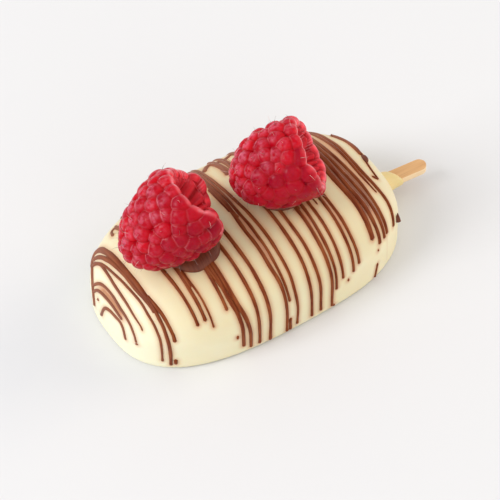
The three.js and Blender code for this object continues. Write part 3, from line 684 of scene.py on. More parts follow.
def hair_material():
    """Dry berry hairs, some pale and some straw brown, mixed by a noise."""
    made, tree, shader = new_material("berry_hair", Roughness=0.6, IOR=1.45)
    straw = (0.13, 0.075, 0.05, 1)
    pale = (0.75, 0.55, 0.50, 1)
    tint = mixed(tree, ranged(tree, speckle(tree, 300), 0.46, 0.62, 0.0, 1.0), straw, pale)
    tree.links.new(tint, shader.inputs["Base Color"])
    return made


def wood_material():
    """Light plain wood with its grain along the stick, paler on its narrow sides and at the tip."""
    made, tree, shader = new_material("wood", Roughness=0.62, IOR=1.45)
    place = add_node(tree, "ShaderNodeTexCoord").outputs["Object"]
    along = add_node(tree, "ShaderNodeMapping", {
        "Vector": place,
        "Rotation": (0, 0, -STICK["turn"]),
        "Scale": (0.06, 1.0, 1.0),
    }).outputs[0]
    fibres = speckle(tree, 2600, 4.0, along)
    bands = speckle(tree, 700, 2.0, along)
    pale = (0.77, 0.47, 0.22, 1)
    warm = (0.63, 0.33, 0.135, 1)
    vein = (0.45, 0.22, 0.10, 1)
    paler_faces = (0.98, 0.74, 0.46, 1)
    tint = mixed(tree, ranged(tree, bands, 0.35, 0.65, 0.0, 1.0), pale, warm)
    tint = mixed(tree, ranged(tree, fibres, 0.55, 0.75, 0.0, 0.45), tint, vein)
    # The narrow sides and the tip are paler.
    tint = mixed(tree, surface_value(tree, "paler_faces"), tint, paler_faces)
    tree.links.new(tint, shader.inputs["Base Color"])
    roughened(tree, shader, fibres, 0.3, 0.00008)
    return made


# ------------------------------------------------------------------ the bar's surface


def plan_radius(x, y):
    """0 at the middle of the bar's plan, 1 on its outline."""
    power = np.where(np.asarray(x) > 0, STICK_END_BLUNTNESS, ROUND_END_BLUNTNESS)
    return (np.abs(x / HALF_LENGTH) ** power + np.abs(y / HALF_WIDTH) ** power) ** (1 / power)


def top_height(x, y):
    """The height of the dome over a place in the plan."""
    radius = np.minimum(plan_radius(x, y), 1)
    rise = (1 - radius ** DOME_POWER) ** (1 / SHOULDER_POWER)
    return SHOULDER + (HEIGHT - SHOULDER) * rise


def outline(angle, scale):
    """Points of the bar's plan outline, at a scale."""
    c, s = np.cos(angle), np.sin(angle)
    power = 2 / np.where(c > 0, STICK_END_BLUNTNESS, ROUND_END_BLUNTNESS)
    x = HALF_LENGTH * scale * np.sign(c) * np.abs(c) ** power
    y = HALF_WIDTH * scale * np.sign(s) * np.abs(s) ** power
    return x, y


def side_inset(height):
    """How far the side has drawn in at a height, from the rounding at the base."""
    below = max(BASE_ROUND - height, 0)
    return BASE_ROUND - math.sqrt(BASE_ROUND ** 2 - below ** 2)


def bar_body():
    """The bar without its collar: underside, rounding, upright side and dome."""
    sides, round_rows, side_rows, dome_rows = 240, 5, 12, 48
    underside_scales = (0.3, 0.6, 0.85)
    rows = [(scale, 0.0) for scale in underside_scales]
    for row in range(round_rows + 1):
        height = BASE_ROUND * (1 - math.cos(math.pi / 2 * row / round_rows))
        rows.append((1 - side_inset(height) / HALF_WIDTH, height))
    for row in range(1, side_rows):
        rows.append((1, BASE_ROUND + (SHOULDER - BASE_ROUND) * row / side_rows))
    for row in range(dome_rows):
        turn = math.pi / 2 * row / dome_rows
        rise = math.sin(turn) ** (2 / SHOULDER_POWER)
        rows.append((math.cos(turn) ** (2 / DOME_POWER), SHOULDER + (HEIGHT - SHOULDER) * rise))
    angles = full_turn(sides)
    rings = []
    for scale, z in rows:
        x, y = outline(angles, scale)
        rings.append(np.column_stack([x, y, np.full(sides, z)]))
    return lofted(rings)


def about_stick(points):
    """Points along X from the bar's end, turned and moved to where the stick runs."""
    turned = np.asarray(points, float) @ np.array(Matrix.Rotation(STICK["turn"], 3, "Z")).T
    return turned + (HALF_LENGTH, 0, STICK["middle_height"])


def collar_body():
    """The coating that ran a little way along the stick, further at the front than at the back."""
    sides, steps, lip_steps = 48, 24, 5
    rings = []
    bar_half, lip_half = np.array(COLLAR["bar_half"]), np.array(COLLAR["lip_half"])
    total = COLLAR["start_inside"] + COLLAR["length"]
    for step in range(steps + 1):
        along = step / steps
        half = lip_half + (bar_half - lip_half) * (1 - along) ** COLLAR["flare"]
        rings.append((along * total - COLLAR["start_inside"], half, along))
    for step in range(1, lip_steps + 1):
        turn = math.pi / 2 * step / lip_steps
        shrink = COLLAR["lip_round"] * (1 - math.cos(turn))
        place = COLLAR["length"] + COLLAR["lip_round"] * math.sin(turn)
        rings.append((place, lip_half - shrink, 1))
    angles = full_turn(sides)
    placed = []
    for x, (wide, high), share in rings:
        slanted = x - COLLAR["lip_slant"] * share ** 2 * np.cos(angles)
        ring = [slanted, wide * np.cos(angles), high * np.sin(angles)]
        placed.append(about_stick(np.column_stack(ring)))
    return lofted(placed)


def joined(*parts):
    """Several sets of points and faces as one."""
    points, faces = [], []
    for part_points, part_faces in parts:
        start = len(points)
        points.extend(part_points)
        faces.extend(tuple(i + start for i in face) for face in part_faces)
    return points, faces


def wander(place, size, reach):
    """Smooth unevenness at a place in metres: spots about `size` mm across, `reach` mm deep."""
    return reach * noise.noise(Vector(place) / (size * MM))


def film_at(places):
    """How much chocolate film lies on the coating, at places in millimetres."""
    x, y = places[:, 0], places[:, 1]
    film = np.zeros(len(places))
    for place_a, slant_a, place_b, slant_b, front, back, strength in FILMS:
        left, right = place_a + slant_a * y, place_b + slant_b * y
        inside = np.clip(np.minimum(x - left, right - x) / FILM_EDGE + 0.5, 0, 1)
        fade = np.clip(np.minimum(y - front, back - y) / FILM_FADE, 0, 1)
        film = np.maximum(film, strength * inside * fade)
    return np.where(places[:, 2] > FILM_LOWEST, film, 0)


def make_coating():
    """The coated bar and its collar as one skin, with the unevenness of dipping."""
    made = mesh_object("coating_solids", *joined(bar_body(), collar_body()))
    remesh = made.modifiers.new("one skin", "REMESH")
    remesh.mode = "VOXEL"
    remesh.voxel_size = SKIN_VOXEL * MM
    smooth = made.modifiers.new("soften", "SMOOTH")
    smooth.factor = 0.5
    smooth.iterations = 8
    made = evaluated_copy(made, "coating")
    places, normals = vertex_array(made), vertex_array(made, "normal")
    lifts = np.zeros(len(places))
    for i, place in enumerate(places):
        if place[2] > FLAT_BELOW * MM:
            lifts[i] = sum(wander(place, *spots) for spots in DIPPING_UNEVENNESS)
    film = film_at(places / MM - (BAR_MIDDLE_X, 0, 0))
    moved = places + normals * ((lifts + FILM_HEIGHT * film) * MM)[:, None]
    moved[:, 2] = np.maximum(moved[:, 2], 0)
    made.data.vertices.foreach_set("co", moved.astype(np.float32).ravel())
    store(made, "film", film)
    beyond_bar = places[:, 0] / MM - BAR_MIDDLE_X - HALF_LENGTH
    warm = np.clip(COLLAR["warmth_at_bar"] + beyond_bar / COLLAR["warming_length"], 0, 1)
    store(made, "collar", COLLAR["warmth"] * warm)
    shade_smooth(made.data)
    return made


# ------------------------------------------------------------------ drizzle


def edge_of_line(place, slant, side):
    """The y at which the line x = place + slant * y leaves the bar's plan."""
    inner, outer = 0.0, side * 1.2 * HALF_WIDTH  # the second is well outside
    halvings = 30
    for _ in range(halvings):
        middle = (inner + outer) / 2
        if plan_radius(place + slant * middle, middle) < 1:
            inner = middle
        else:
            outer = middle
    return inner


def crossing_line(place, slant, front_end, back_end):
    """Points over the whole bar, between the heights of the two ends."""
    front = edge_of_line(place, slant, -1)
    back = edge_of_line(place, slant, 1)
    count = 90
    closer_at_ends = (1 - np.cos(np.linspace(0, math.pi, count))) / 2
    y = front + (back - front) * closer_at_ends
    x = place + slant * y
    z = top_height(x, y)
    ends = np.where(np.arange(count) < count / 2, front_end, back_end)
    points = list(np.column_stack([x, y, z])[z >= ends])
    if front_end < SHOULDER:
        points.insert(0, (place + slant * front, front, front_end))
    if back_end < SHOULDER:
        points.append((place + slant * back, back, back_end))
    return points


def smooth_line(points, steps=8):
    """A smooth curve through a few points, laid on the dome where they give no height."""
    points = [Vector(p if len(p) == 3 else (*p, float(top_height(*p)))) for p in points]
    if len(points) < 3:
        return points
    ends = [2 * points[0] - points[1], *points, 2 * points[-1] - points[-2]]
    curve = []
    for a, b, c, d in zip(ends, ends[1:], ends[2:], ends[3:]):
        for step in range(steps):
            t = step / steps
            tangents = (c - a) / 2 * (t - 2 * t * t + t ** 3) + (d - b) / 2 * (t ** 3 - t * t)
            curve.append(b * (1 - 3 * t * t + 2 * t ** 3) + c * (3 * t * t - 2 * t ** 3) + tangents)
    return [*curve, points[-1]]


def evenly_spaced(points, step, fewest=4):
    """The same line with points a step apart, and each point's distance along it."""
    points = np.asarray([tuple(point) for point in points], float)
    gaps = np.linalg.norm(np.diff(points, axis=0), axis=1)
    along = np.concatenate([[0], np.cumsum(gaps)])
    count = max(int(round(along[-1] / step)), fewest)
    wanted = np.linspace(0, along[-1], count + 1)
    return np.column_stack([np.interp(wanted, along, points[:, k]) for k in range(3)]), wanted


def waver(place, unevenness, seed, layer):
    """Smooth unevenness, given as (length, size), at a place along a line."""
    length, size = unevenness
    return size * noise.noise(Vector((place / length, seed, layer)))


def bead_profile(along, width, left_at_end, seed):
    """Radius and sink, in millimetres, of a bead of chocolate along a line.

    The bead is a round rod that lies partly below the coating, so that only its cap shows.
    """
    total = along[-1]
    half = np.zeros(len(along))
    for i, place in enumerate(along):
        swell = waver(place, SLOW_UNEVENNESS, seed, 0) + waver(place, QUICK_UNEVENNESS, seed, 5)
        half[i] = 0.5 * width * (1 + swell)
    thinning = np.clip((along / total - 1 + THINNING_SHARE) / THINNING_SHARE, 0, 1)
    half *= 1 + (left_at_end - 1) * thinning ** THINNING_POWER
    from_end = np.minimum(along, total - along)
    drop_middle, drop_half = 0.6 * END_LENGTH, 0.5 * DROP_LENGTH
    half += END_SWELL * np.exp(-(((from_end - drop_middle) / drop_half) ** 2))
    rounding = 1 - (1 - np.minimum(from_end / END_LENGTH, 1)) ** 2
    cap = np.sqrt(np.clip(rounding, SMALLEST_END, 1))
    height = BEAD_HEIGHT * (half / ORDINARY_HALF_WIDTH) ** BEAD_HEIGHT_POWER
    radius = (half ** 2 + height ** 2) / (2 * height)
    return radius * cap, (radius - height) * cap


def drizzle_tree():
    """Lays each line on the coating and sweeps a round bead along it."""
    tree, given = new_tree("drizzle", {
        "Coating": "NodeSocketObject",
        "Step": "NodeSocketFloat",
        "Sides": "NodeSocketInt",
        "Chocolate": "NodeSocketMaterial",
    })
    line = add_node(tree, "GeometryNodeMeshToCurve", {"Mesh": given["Geometry"]})
    even = add_node(tree, "GeometryNodeResampleCurve",
                    {"Curve": line.outputs[0], "Length": given["Step"]}, mode="LENGTH")
    face = add_node(tree, "GeometryNodeObjectInfo", {"Object": given["Coating"]})
    nearest = add_node(tree, "GeometryNodeProximity", {0: face.outputs["Geometry"]})
    normal = add_node(tree, "GeometryNodeSampleNearestSurface", {
        "Mesh": face.outputs["Geometry"],
        "Value": add_node(tree, "GeometryNodeInputNormal").outputs[0],
    }, data_type="FLOAT_VECTOR")
    sink = worked_out(tree, "MULTIPLY", attribute(tree, "bead_sink"), -1.0)
    down = add_node(tree, "ShaderNodeVectorMath", {0: normal.outputs[0], "Scale": sink},
                    operation="SCALE")
    laid = add_node(tree, "GeometryNodeSetPosition", {
        "Geometry": even.outputs[0],
        "Position": nearest.outputs["Position"],
        "Offset": down.outputs[0],
    })
    rod = add_node(tree, "GeometryNodeCurvePrimitiveCircle", {
        "Resolution": given["Sides"],
        "Radius": 1.0,
    })
    swept = add_node(tree, "GeometryNodeCurveToMesh", {
        "Curve": laid.outputs[0],
        "Profile Curve": rod.outputs[0],
        "Scale": attribute(tree, "bead_radius"),
        "Fill Caps": True,
    })
    finish_tree(tree, swept.outputs[0], given["Chocolate"])
    return tree


def drizzle_lines():
    """Every line of drizzle as (width, share of it left at the last point, points)."""
    for place, slant, front_end, back_end, width in CROSSING_LINES:
        yield width, LEFT_AT_FRONT, crossing_line(place, slant, front_end, back_end)[::-1]
    for width, left_at_end, points in WANDERING_LINES:
        yield width, left_at_end, smooth_line(points)
    for x, y, height, width, length in SPECKS:
        yield width, 1.0, [(x, y, height + length / 2), (x, y, height - length / 2)]


def make_drizzle(coating, chocolate):
    """All the lines as one piece, laid on the coating."""
    points, edges, radii, sinks = [], [], [], []
    for seed, (width, left_at_end, line) in enumerate(drizzle_lines()):
        places, along = evenly_spaced(line, BEAD_STEP)
        radius, sink = bead_profile(along, width, left_at_end, seed * 3.7)
        start = len(points)
        edges.extend((start + i, start + i + 1) for i in range(len(places) - 1))
        for i, place in enumerate(places):
            sway = waver(along[i], SWAY, seed * 2.3, 9)
            points.append((place[0] + sway, place[1], place[2]))
        radii.extend(radius * MM)
        sinks.extend(sink * MM)
    lines = mesh_object("drizzle_lines", points, [], edges)
    store(lines, "bead_radius", radii)
    store(lines, "bead_sink", sinks)
    return grown(lines, drizzle_tree(), {
        "Coating": coating,
        "Step": BEAD_STEP * MM,
        "Sides": BEAD_SIDES,
        "Chocolate": chocolate,
    }, "drizzle")


# ------------------------------------------------------------------ dabs


def dab_body(x, y, radius_x, radius_y, rise, seed):
    """A thick puddle of chocolate, pressed out by the berry on it."""
    sides, rows, innermost = 96, 16, 0.05
    across, up = DAB_POWERS
    angles = full_turn(sides)
    often, deep = DAB_LOBES
    lobes = np.array([1 + deep * noise.noise(Vector((math.cos(a), math.sin(a), seed)) * often)
                      for a in angles])
    rings = []
    for row in range(rows + 1):
        turn = math.pi / 2 * row / rows
        share = math.cos(turn) ** across if row < rows else innermost
        height = rise * math.sin(turn) ** up
        px = x + radius_x * share * lobes * np.cos(angles)
        py = y + radius_y * share * lobes * np.sin(angles)
        rings.append(np.column_stack([px, py, top_height(px, py) + height]))
    rings.insert(0, rings[0] - (0, 0, DAB_SUNK))
    return lofted(rings)


def drip_body(foot, tip, radius, is_round):
    """A drop, or a wedge that narrows towards its tip."""
    sides, rows = 20, 14
    foot, tip = Vector(foot), Vector(tip)
    turn = np.array((tip - foot).to_track_quat("Z", "Y").to_matrix()).T
    angles = full_turn(sides)
    rings = []
    for share in np.linspace(0.02, 0.98, rows):
        if is_round:
            swell = radius * math.sqrt(1 - (2 * share - 1) ** 2)
        else:  # widest a tenth of the way up
            swell = radius * (1 - share) ** 0.8 * min(1, 0.5 + 5 * share)
        thick = DRIP_FLATNESS * swell
        height = np.full(sides, share * (tip - foot).length)
        ring = np.column_stack([swell * np.cos(angles), thick * np.sin(angles), height])
        rings.append(ring @ turn + np.array(foot))
    return lofted(rings)


def make_dabs():
    """The dabs under the raspberries and the drips, as one piece."""
    bodies = [dab_body(*dab, seed) for seed, dab in enumerate(DABS)]
    bodies += [drip_body(*drip) for drip in DRIPS]
    return mesh_object("dabs", *joined(*bodies))


# ------------------------------------------------------------------ stick


def make_stick():
    """A thin flat stick with a round end and softened edges."""
    half_width, half_thick = STICK["half_width"], STICK["half_thickness"]
    edge = STICK["edge_round"]
    corner_steps, along_steps, tip_steps = 4, 40, 18
    section = []
    for k, (sx, sz) in enumerate(((1, 1), (-1, 1), (-1, -1), (1, -1))):
        for step in range(corner_steps + 1):
            angle = math.pi / 2 * (k + step / corner_steps)
            section.append((sx * (half_width - edge) + edge * math.cos(angle),
                            sz * (half_thick - edge) + edge * math.sin(angle)))
    section = np.array(section)
    straight = STICK["reach"] - half_width
    narrowest = 0.02  # share of the width at the last ring
    rows = [(-STICK["inside"] + (STICK["inside"] + straight) * i / along_steps, 1.0)
            for i in range(along_steps + 1)]
    for i in range(1, tip_steps + 1):
        turn = math.pi / 2 * i / tip_steps
        rows.append((straight + half_width * math.sin(turn), max(math.cos(turn), narrowest)))
    softening = STICK["tip_softening"]
    rings, paler_faces = [], []
    for x, narrow in rows:
        softness = min(softening / (narrow + softening), 1)
        softened = edge * (1 - math.sqrt(1 - softness ** 2))
        thin = 1.0 if narrow == 1 else 1 - softened / half_thick
        ring = [np.full(len(section), x), section[:, 0] * narrow, section[:, 1] * thin]
        rings.append(about_stick(np.column_stack(ring)))
        flat = np.abs(section[:, 1]) >= half_thick - 0.5 * edge
        paler_faces.extend(np.where(flat & (narrow > STICK["all_paler_below"]), 0.0, 1.0))
    made = mesh_object("wooden_stick", *lofted(rings))
    store(made, "paler_faces", [*paler_faces, 0.0, 1.0])  # the last two are the poles
    return made


# ------------------------------------------------------------------ raspberries


def envelope_radius(berry, along):
    """A berry's outer radius at a distance from its open end."""
    towards_mouth = np.clip((berry["widest"] - along) / berry["widest"], 0, 1)
    towards_tip = np.clip((along - berry["widest"]) / (berry["length"] - berry["widest"]), 0, 1)
    mouth = 1 - berry["mouth_narrowing"] * towards_mouth ** 2
    shape = mouth * (1 - towards_tip ** berry["tip_power"])
    return berry["radius"] * np.sqrt(shape)


def pitch_at(berry, along):
    """The distance between drupelets, which are smaller towards the tip."""
    share = np.clip(along / berry["length"], 0, 1)
    return RIM_PITCH + (TIP_PITCH - RIM_PITCH) * share


def berry_profile(berry, count):
    """The skin that the drupelets stand on, from the tip over the rim to the hollow's end.

    Returns each point's place along the berry, its radius and its distance along the skin, and
    where along it the rim starts and ends.
    """
    length = berry["length"]
    along = RIM_DEPTH + (length - RIM_DEPTH) * np.cos(np.linspace(0, math.pi / 2, 300))
    outer = np.column_stack([length / 2 - along, envelope_radius(berry, along)])
    slope = unit_slopes(outer)
    outward = np.column_stack([-slope[:, 1], slope[:, 0]])
    outer = outer - outward * STAND * pitch_at(berry, along)[:, None]
    outer[:, 1] = np.maximum(outer[:, 1], 0)
    rim_radius = (outer[-1, 1] - HOLLOW["mouth"]) / 2
    turn = np.linspace(math.pi / 2, -math.pi / 2, 60)[1:-1]
    rim = np.column_stack([outer[-1, 0] + rim_radius * np.cos(turn),
                           HOLLOW["mouth"] + rim_radius * (1 + np.sin(turn))])
    share = np.linspace(0, 1, 120)
    deep = RIM_DEPTH + (HOLLOW["depth"] - RIM_DEPTH) * share
    narrow = HOLLOW["mouth"] + (HOLLOW["end"] - HOLLOW["mouth"]) * share ** HOLLOW["narrowing_power"]
    wall = np.column_stack([length / 2 - deep, narrow])
    turn = np.linspace(0, math.pi / 2, 40)[1:]
    bulge = HOLLOW["end_roundness"] * HOLLOW["end"]
    end = np.column_stack([wall[-1, 0] - bulge * np.sin(turn), HOLLOW["end"] * np.cos(turn)])
    line = np.vstack([outer, rim, wall, end])
    travelled = np.concatenate([[0], np.cumsum(np.linalg.norm(np.diff(line, axis=0), axis=1))])
    wanted = np.linspace(0, travelled[-1], count)
    x = np.interp(wanted, travelled, line[:, 0])
    radius = np.interp(wanted, travelled, line[:, 1])
    return x, radius, wanted, travelled[len(outer) - 1], travelled[len(outer) + len(rim)]


def unit_slopes(line):
    """The direction of a line at each of its points."""
    slope = np.gradient(line, axis=0)
    return slope / np.linalg.norm(slope, axis=1)[:, None]


def berry_points(x, radius, angle):
    """Points at places along a berry's axis, at a radius and an angle round it."""
    return np.stack([x, radius * np.cos(angle), radius * np.sin(angle)], axis=-1)


def turned_berry(points, berry):
    """A berry's own points or directions, tipped and turned as it lies on the bar."""
    turn = Matrix.Rotation(berry["turn"], 3, "Z") @ Matrix.Rotation(-berry["lift"], 3, "Y")
    return points @ np.array(turn).T


def placed_berry(points, berry):
    """A berry's own points at their place on the bar."""
    return turned_berry(points, berry) + berry["middle"]


def open_end_shaped(points, berry):
    """Points of a berry with its open end leaning towards the back, and its flaps."""
    share = np.clip(1 - (berry["length"] / 2 - points[..., 0]) / MOUTH_REACH, 0, 1)
    share = share * share * (3 - 2 * share)
    angle = np.arctan2(points[..., 2], points[..., 1])
    edge = np.minimum(np.hypot(points[..., 1], points[..., 2]) / berry["radius"], 1)
    out = berry["lean"] * np.cos(angle)
    widening = np.zeros_like(angle)
    for middle, reach, standing, wider in berry["flaps"]:
        gap = (angle - math.radians(middle) + math.pi) % (2 * math.pi) - math.pi
        here = np.exp(-((gap / math.radians(reach)) ** 2))
        out += standing * here
        widening += wider * here
    moved = points.copy()
    moved[..., 0] += out * share * edge
    moved[..., 1:] *= (1 + widening * share * edge)[..., None]
    return moved


class BerrySkin:
    """A smooth cup as a grid of points, that every drupelet pushes outwards."""

    def __init__(self, berry, rows, sides):
        self.berry = berry
        x, radius, self.travelled, rim_start, rim_end = berry_profile(berry, rows)
        self.rim_row = int(np.searchsorted(self.travelled, rim_start))
        self.hollow_row = int(np.searchsorted(self.travelled, rim_end))
        self.angles = full_turn(sides)
        shape = (rows, sides)
        across = [np.broadcast_to(values[:, None], shape) for values in (x, radius)]
        smooth = berry_points(*across, np.broadcast_to(self.angles, shape))
        self.cup = open_end_shaped(smooth, berry)
        down = np.gradient(self.cup, axis=0)
        around = (np.roll(self.cup, -1, axis=1) - np.roll(self.cup, 1, axis=1)) / 2
        outward = np.cross(around, down)
        size = np.linalg.norm(outward, axis=-1, keepdims=True)
        self.cell = size[..., 0]
        self.outward = outward / np.maximum(size, 1e-9)
        self.outward[0] = (-1, 0, 0)
        self.outward[-1] = (1, 0, 0)
        self.pitch = pitch_at(berry, berry["length"] / 2 - x)
        self.height = np.full(shape, NOWHERE)
        self.runner_up = np.full(shape, NOWHERE)
        self.blend = np.zeros(shape)
        self.nearness = np.zeros(shape)
        self.tone = np.zeros(shape)

    def rim_places(self, random):
        """Grid places of the row of drupelets along the open end's edge."""
        ring = self.cup[self.rim_row]
        gaps = np.linalg.norm(np.roll(ring, -1, axis=0) - ring, axis=1)
        along = np.concatenate([[0], np.cumsum(gaps)])
        count = int(round(along[-1] / (RIM_SPACING * self.pitch[self.rim_row])))
        turns = (np.arange(count) + RIM_JITTER * random.normal(size=count)) % count
        sides = np.searchsorted(along[1:], turns * along[-1] / count)
        return [(self.rim_row, int(side)) for side in sides]

    def side_places(self, rim, random):
        """Grid places of the other drupelets, packed evenly over the outside."""
        rows = np.arange(0, self.rim_row - 2, GRID_STRIDE)
        sides = np.arange(0, len(self.angles), GRID_STRIDE)
        spots = self.cup[np.ix_(rows, sides)].reshape(-1, 3)
        pitch = np.repeat(self.pitch[rows], len(sides))
        weight = np.maximum(self.cell[np.ix_(rows, sides)].ravel(), 1e-6)
        edge = np.array([self.cup[place] for place in rim])
        gap = np.linalg.norm(spots[:, None] - edge[None], axis=-1).min(axis=1) / pitch
        chosen = [0]
        gap = np.minimum(gap, np.linalg.norm(spots - spots[0], axis=1) / pitch)
        while gap.max() > PACKING:
            chosen.append(int(np.argmax(gap + CHOICE_SPREAD * random.uniform(size=len(gap)))))
            gap = np.minimum(gap, np.linalg.norm(spots - spots[chosen[-1]], axis=1) / pitch)
        for _ in range(EVENING_ROUNDS):
            middles = np.vstack([spots[chosen], edge])
            nearest = np.linalg.norm(spots[:, None] - middles[None], axis=-1).argmin(axis=1)
            for i in range(len(chosen)):
                own = nearest == i
                middle = np.average(spots[own], axis=0, weights=weight[own])
                chosen[i] = int(np.linalg.norm(spots - middle, axis=1).argmin())
        return [(int(rows[i // len(sides)]), int(sides[i % len(sides)])) for i in chosen]

    def raise_to(self, height, tone, nearness=0.0):
        """Keeps the highest and second highest at each point, and the highest one's looks."""
        self.blend += np.exp(np.maximum(height, UNFELT) / SOFTNESS)
        wins = height > self.height
        self.runner_up = np.where(wins, self.height, np.maximum(self.runner_up, height))
        self.height = np.where(wins, height, self.height)
        self.nearness = np.where(wins, nearness, self.nearness)
        self.tone = np.where(wins, tone, self.tone)

    def push(self, place, on_rim, random):
        """Lets one drupelet stand out of the cup. Returns its top's place and direction."""
        row, side = place
        middle, normal = self.cup[place], self.outward[place]
        if on_rim:
            gap = self.travelled[:, None] - self.travelled[row]
            gap = np.where(gap > 0, gap / RIM_STRETCH, gap)
            across = np.linalg.norm(self.cup - self.cup[:, side][:, None], axis=-1)
            away = np.hypot(gap, across)
        else:
            away = np.linalg.norm(self.cup - middle, axis=-1)
        pitch = self.pitch[row] * (1 + PITCH_SPREAD * random.normal())
        curve = DOME * pitch
        worn = self.berry["worn"] * max(float(normal @ np.array(WORN_AND_SHADED_SIDE)), 0)
        share = np.clip(away / curve, 0, 1)
        stand = STAND * pitch + STAND_SPREAD * random.normal()
        height = stand - curve * (1 - np.sqrt(1 - share ** (FLATNESS + WORN_FLATNESS * worn)))
        if on_rim:
            over, lowered = RIM_LOWERED
            inner = np.clip((self.travelled[:, None] - self.travelled[row]) / over, 0, 1)
            height *= 1 - lowered * inner
        height = np.where(share < 1, height, NOWHERE)
        if not on_rim:
            height[self.hollow_row:] = NOWHERE
        height -= DIMPLE * np.exp(-((away / DIMPLE_WIDTH) ** 2))
        self.raise_to(height, random.uniform(), 1 - away / (BLOOM_REACH * pitch))
        return middle + normal * (stand - DIMPLE), normal

    def fold(self):
        """Lets the hollow's wall stand out in pleats."""
        seed = self.berry["seed"]
        depth = (self.travelled - self.travelled[self.hollow_row])[:, None]
        # Slow waves make the pleats unevenly wide and bend them on their way down.
        uneven = 0.11 * np.sin(3 * self.angles + seed) + 0.06 * np.sin(5 * self.angles)
        turn = self.angles + uneven + 0.03 * np.sin(depth / 1.3 + 2 * self.angles)
        phase = turn * PLEATS / (2 * math.pi)
        ridge = 0.5 - 0.5 * np.cos(2 * math.pi * phase)
        # Painted light and shade across each pleat: lighter on one side, darker on the other.
        self.fold_light = 0.5 + 0.5 * np.sin(2 * math.pi * phase + 1.2)
        fade = np.clip(depth / 1.2 + 1.0, 0, 1) * np.clip(1.5 - depth / 9, 0.3, 1)
        height = np.where(fade > 0, PLEAT_HEIGHT * ridge * fade - 0.02, NOWHERE)
        self.raise_to(height, 0.2 + 0.5 * (np.floor(phase) % 2))

    def finished(self):
        """All points of the skin, with the drupelets run together a little in the grooves."""
        height = SOFTNESS * np.log(self.blend + math.exp(LOWEST / SOFTNESS))
        lumps = LUMPS * np.sin(3 * self.angles + self.cup[..., 0] / 6 + self.berry["seed"])
        # The lumps fade out towards the axis, where the rows close up.
        lumps *= np.clip(np.hypot(self.cup[..., 1], self.cup[..., 2]) / 8, 0, 1)
        return self.cup + self.outward * (height + lumps)[..., None]

    def turned_to_light_side(self, grid):
        """How much further than the cup below it the finished skin faces the light side."""
        around = np.roll(grid, -1, axis=1) - np.roll(grid, 1, axis=1)
        facing = np.cross(around, np.gradient(grid, axis=0))
        facing /= np.maximum(np.linalg.norm(facing, axis=-1, keepdims=True), 1e-9)
        return (facing - self.outward) @ np.array(LIGHT_SIDE)

    def painted_edge_highlights(self, turned_to):
        """A painted pale highlight close above the grooves, where a drupelet's side faces the light
        side.
        """
        above_groove = self.height - self.runner_up
        band = np.clip(1 - np.abs(above_groove - EDGE_HEIGHT) / EDGE_HEIGHT, 0, 1)
        least = LEAST_EDGE * (1 - self.berry["worn"])
        strength = np.clip(EDGE_UNTURNED + EDGE_GROWTH * turned_to, 0, 1)
        return band * strength * (least + (1 - least) * self.lit())

    def lit(self):
        """How far the skin faces the light side, for painted light: 0 to 1."""
        return np.clip(LIT_SIDEWAYS + self.outward @ np.array(LIGHT_SIDE), 0, 1)

    def fibres(self):
        """Fine pale lines from the open end's edge into the hollow, on its upper side."""
        depth = (self.travelled - self.travelled[self.rim_row])[:, None]
        # Slow waves bend the lines and gather them in uneven bundles.
        phase = FIBRES * self.angles + 1.4 * np.sin(depth / 1.7 + 2 * self.angles)
        phase = phase + 2.2 * np.sin(7 * self.angles + depth / 2)
        line = (0.5 + 0.5 * np.cos(phase)) ** 3
        line *= np.clip(0.4 + np.sin(11 * self.angles + depth), 0, 1)
        gap = (self.angles - FIBRES_MIDDLE + math.pi) % (2 * math.pi) - math.pi
        window = np.clip((depth + 2.4) / 0.8, 0, 1) * np.clip(2.0 - depth / 2.5, 0, 1)
        return line * np.exp(-((gap / FIBRES_REACH) ** 2)) * window

    def attributes(self, grid):
        """Numbers for the material, with painted light and shade: grooves, pale edges, the pale
        dust, tone and the hollow.
        """
        row = self.travelled[:, None]
        rim, hollow = self.travelled[self.rim_row], self.travelled[self.hollow_row]
        # Painted shade for the grooves between drupelets and for the creases of the hollow.
        groove_shade = np.exp(-(self.height - np.maximum(self.runner_up, LOWEST)) / GROOVE_FADE)
        creases = np.exp(-np.maximum(self.height, 0) / CREASE_FADE)
        groove_shade = np.where(row > hollow, np.maximum(groove_shade, creases), groove_shade)
        towards_tip = np.clip((rim - row) / rim, 0, 1)
        turned_to = self.turned_to_light_side(grid)
        # Bloom is thickest on the drupelets' tops and towards the tip; where it follows the light
        # side and each drupelet's turn towards it, it is painted sheen. The hollow has none.
        bloom_and_sheen = np.clip(self.nearness * BLOOM_SPREAD, 0, 1) * (0.06 + 0.94 * self.lit())
        bloom_and_sheen *= np.clip(0.85 + 0.8 * turned_to, 0, 1)
        bloom_and_sheen *= 0.75 + 0.25 * towards_tip ** 0.7
        bloom_and_sheen *= np.clip((hollow - row) / 2, 0, 1)
        # Painted glow: the hollow is brighter from a little past the rim, standing in for light
        # through its walls.
        bright_from = rim + self.berry["bright_from"]
        bright = np.clip((row - bright_from) / BRIGHTENING, 0, 1)
        inside = bright * (0.45 + 0.55 * self.fold_light)
        lip = RIM_LINE_STRENGTH * np.exp(-(((row - rim - RIM_LINE) / RIM_LINE_WIDTH) ** 2))
        lines = np.maximum(lip, FIBRES_STRENGTH * self.fibres())
        # The edge values are painted highlights on the drupelets' edges, and the pale lines of the
        # rim and the mouth.
        edge = np.maximum(self.painted_edge_highlights(turned_to), lines)
        # Painted glow: a drupelet is brighter where it faces away from the light side.
        # Painted shade: it is deeper on the berry's lower side.
        shade = np.clip(self.outward @ np.array(WORN_AND_SHADED_SIDE), 0, 1)
        tone = np.clip(0.2 + 0.6 * self.tone - 0.7 * turned_to, 0, 1) * (1 - 0.6 * shade)
        return {"groove_shade": groove_shade, "edge": edge, "bloom_and_sheen": bloom_and_sheen, "tone": tone, "inside": inside}


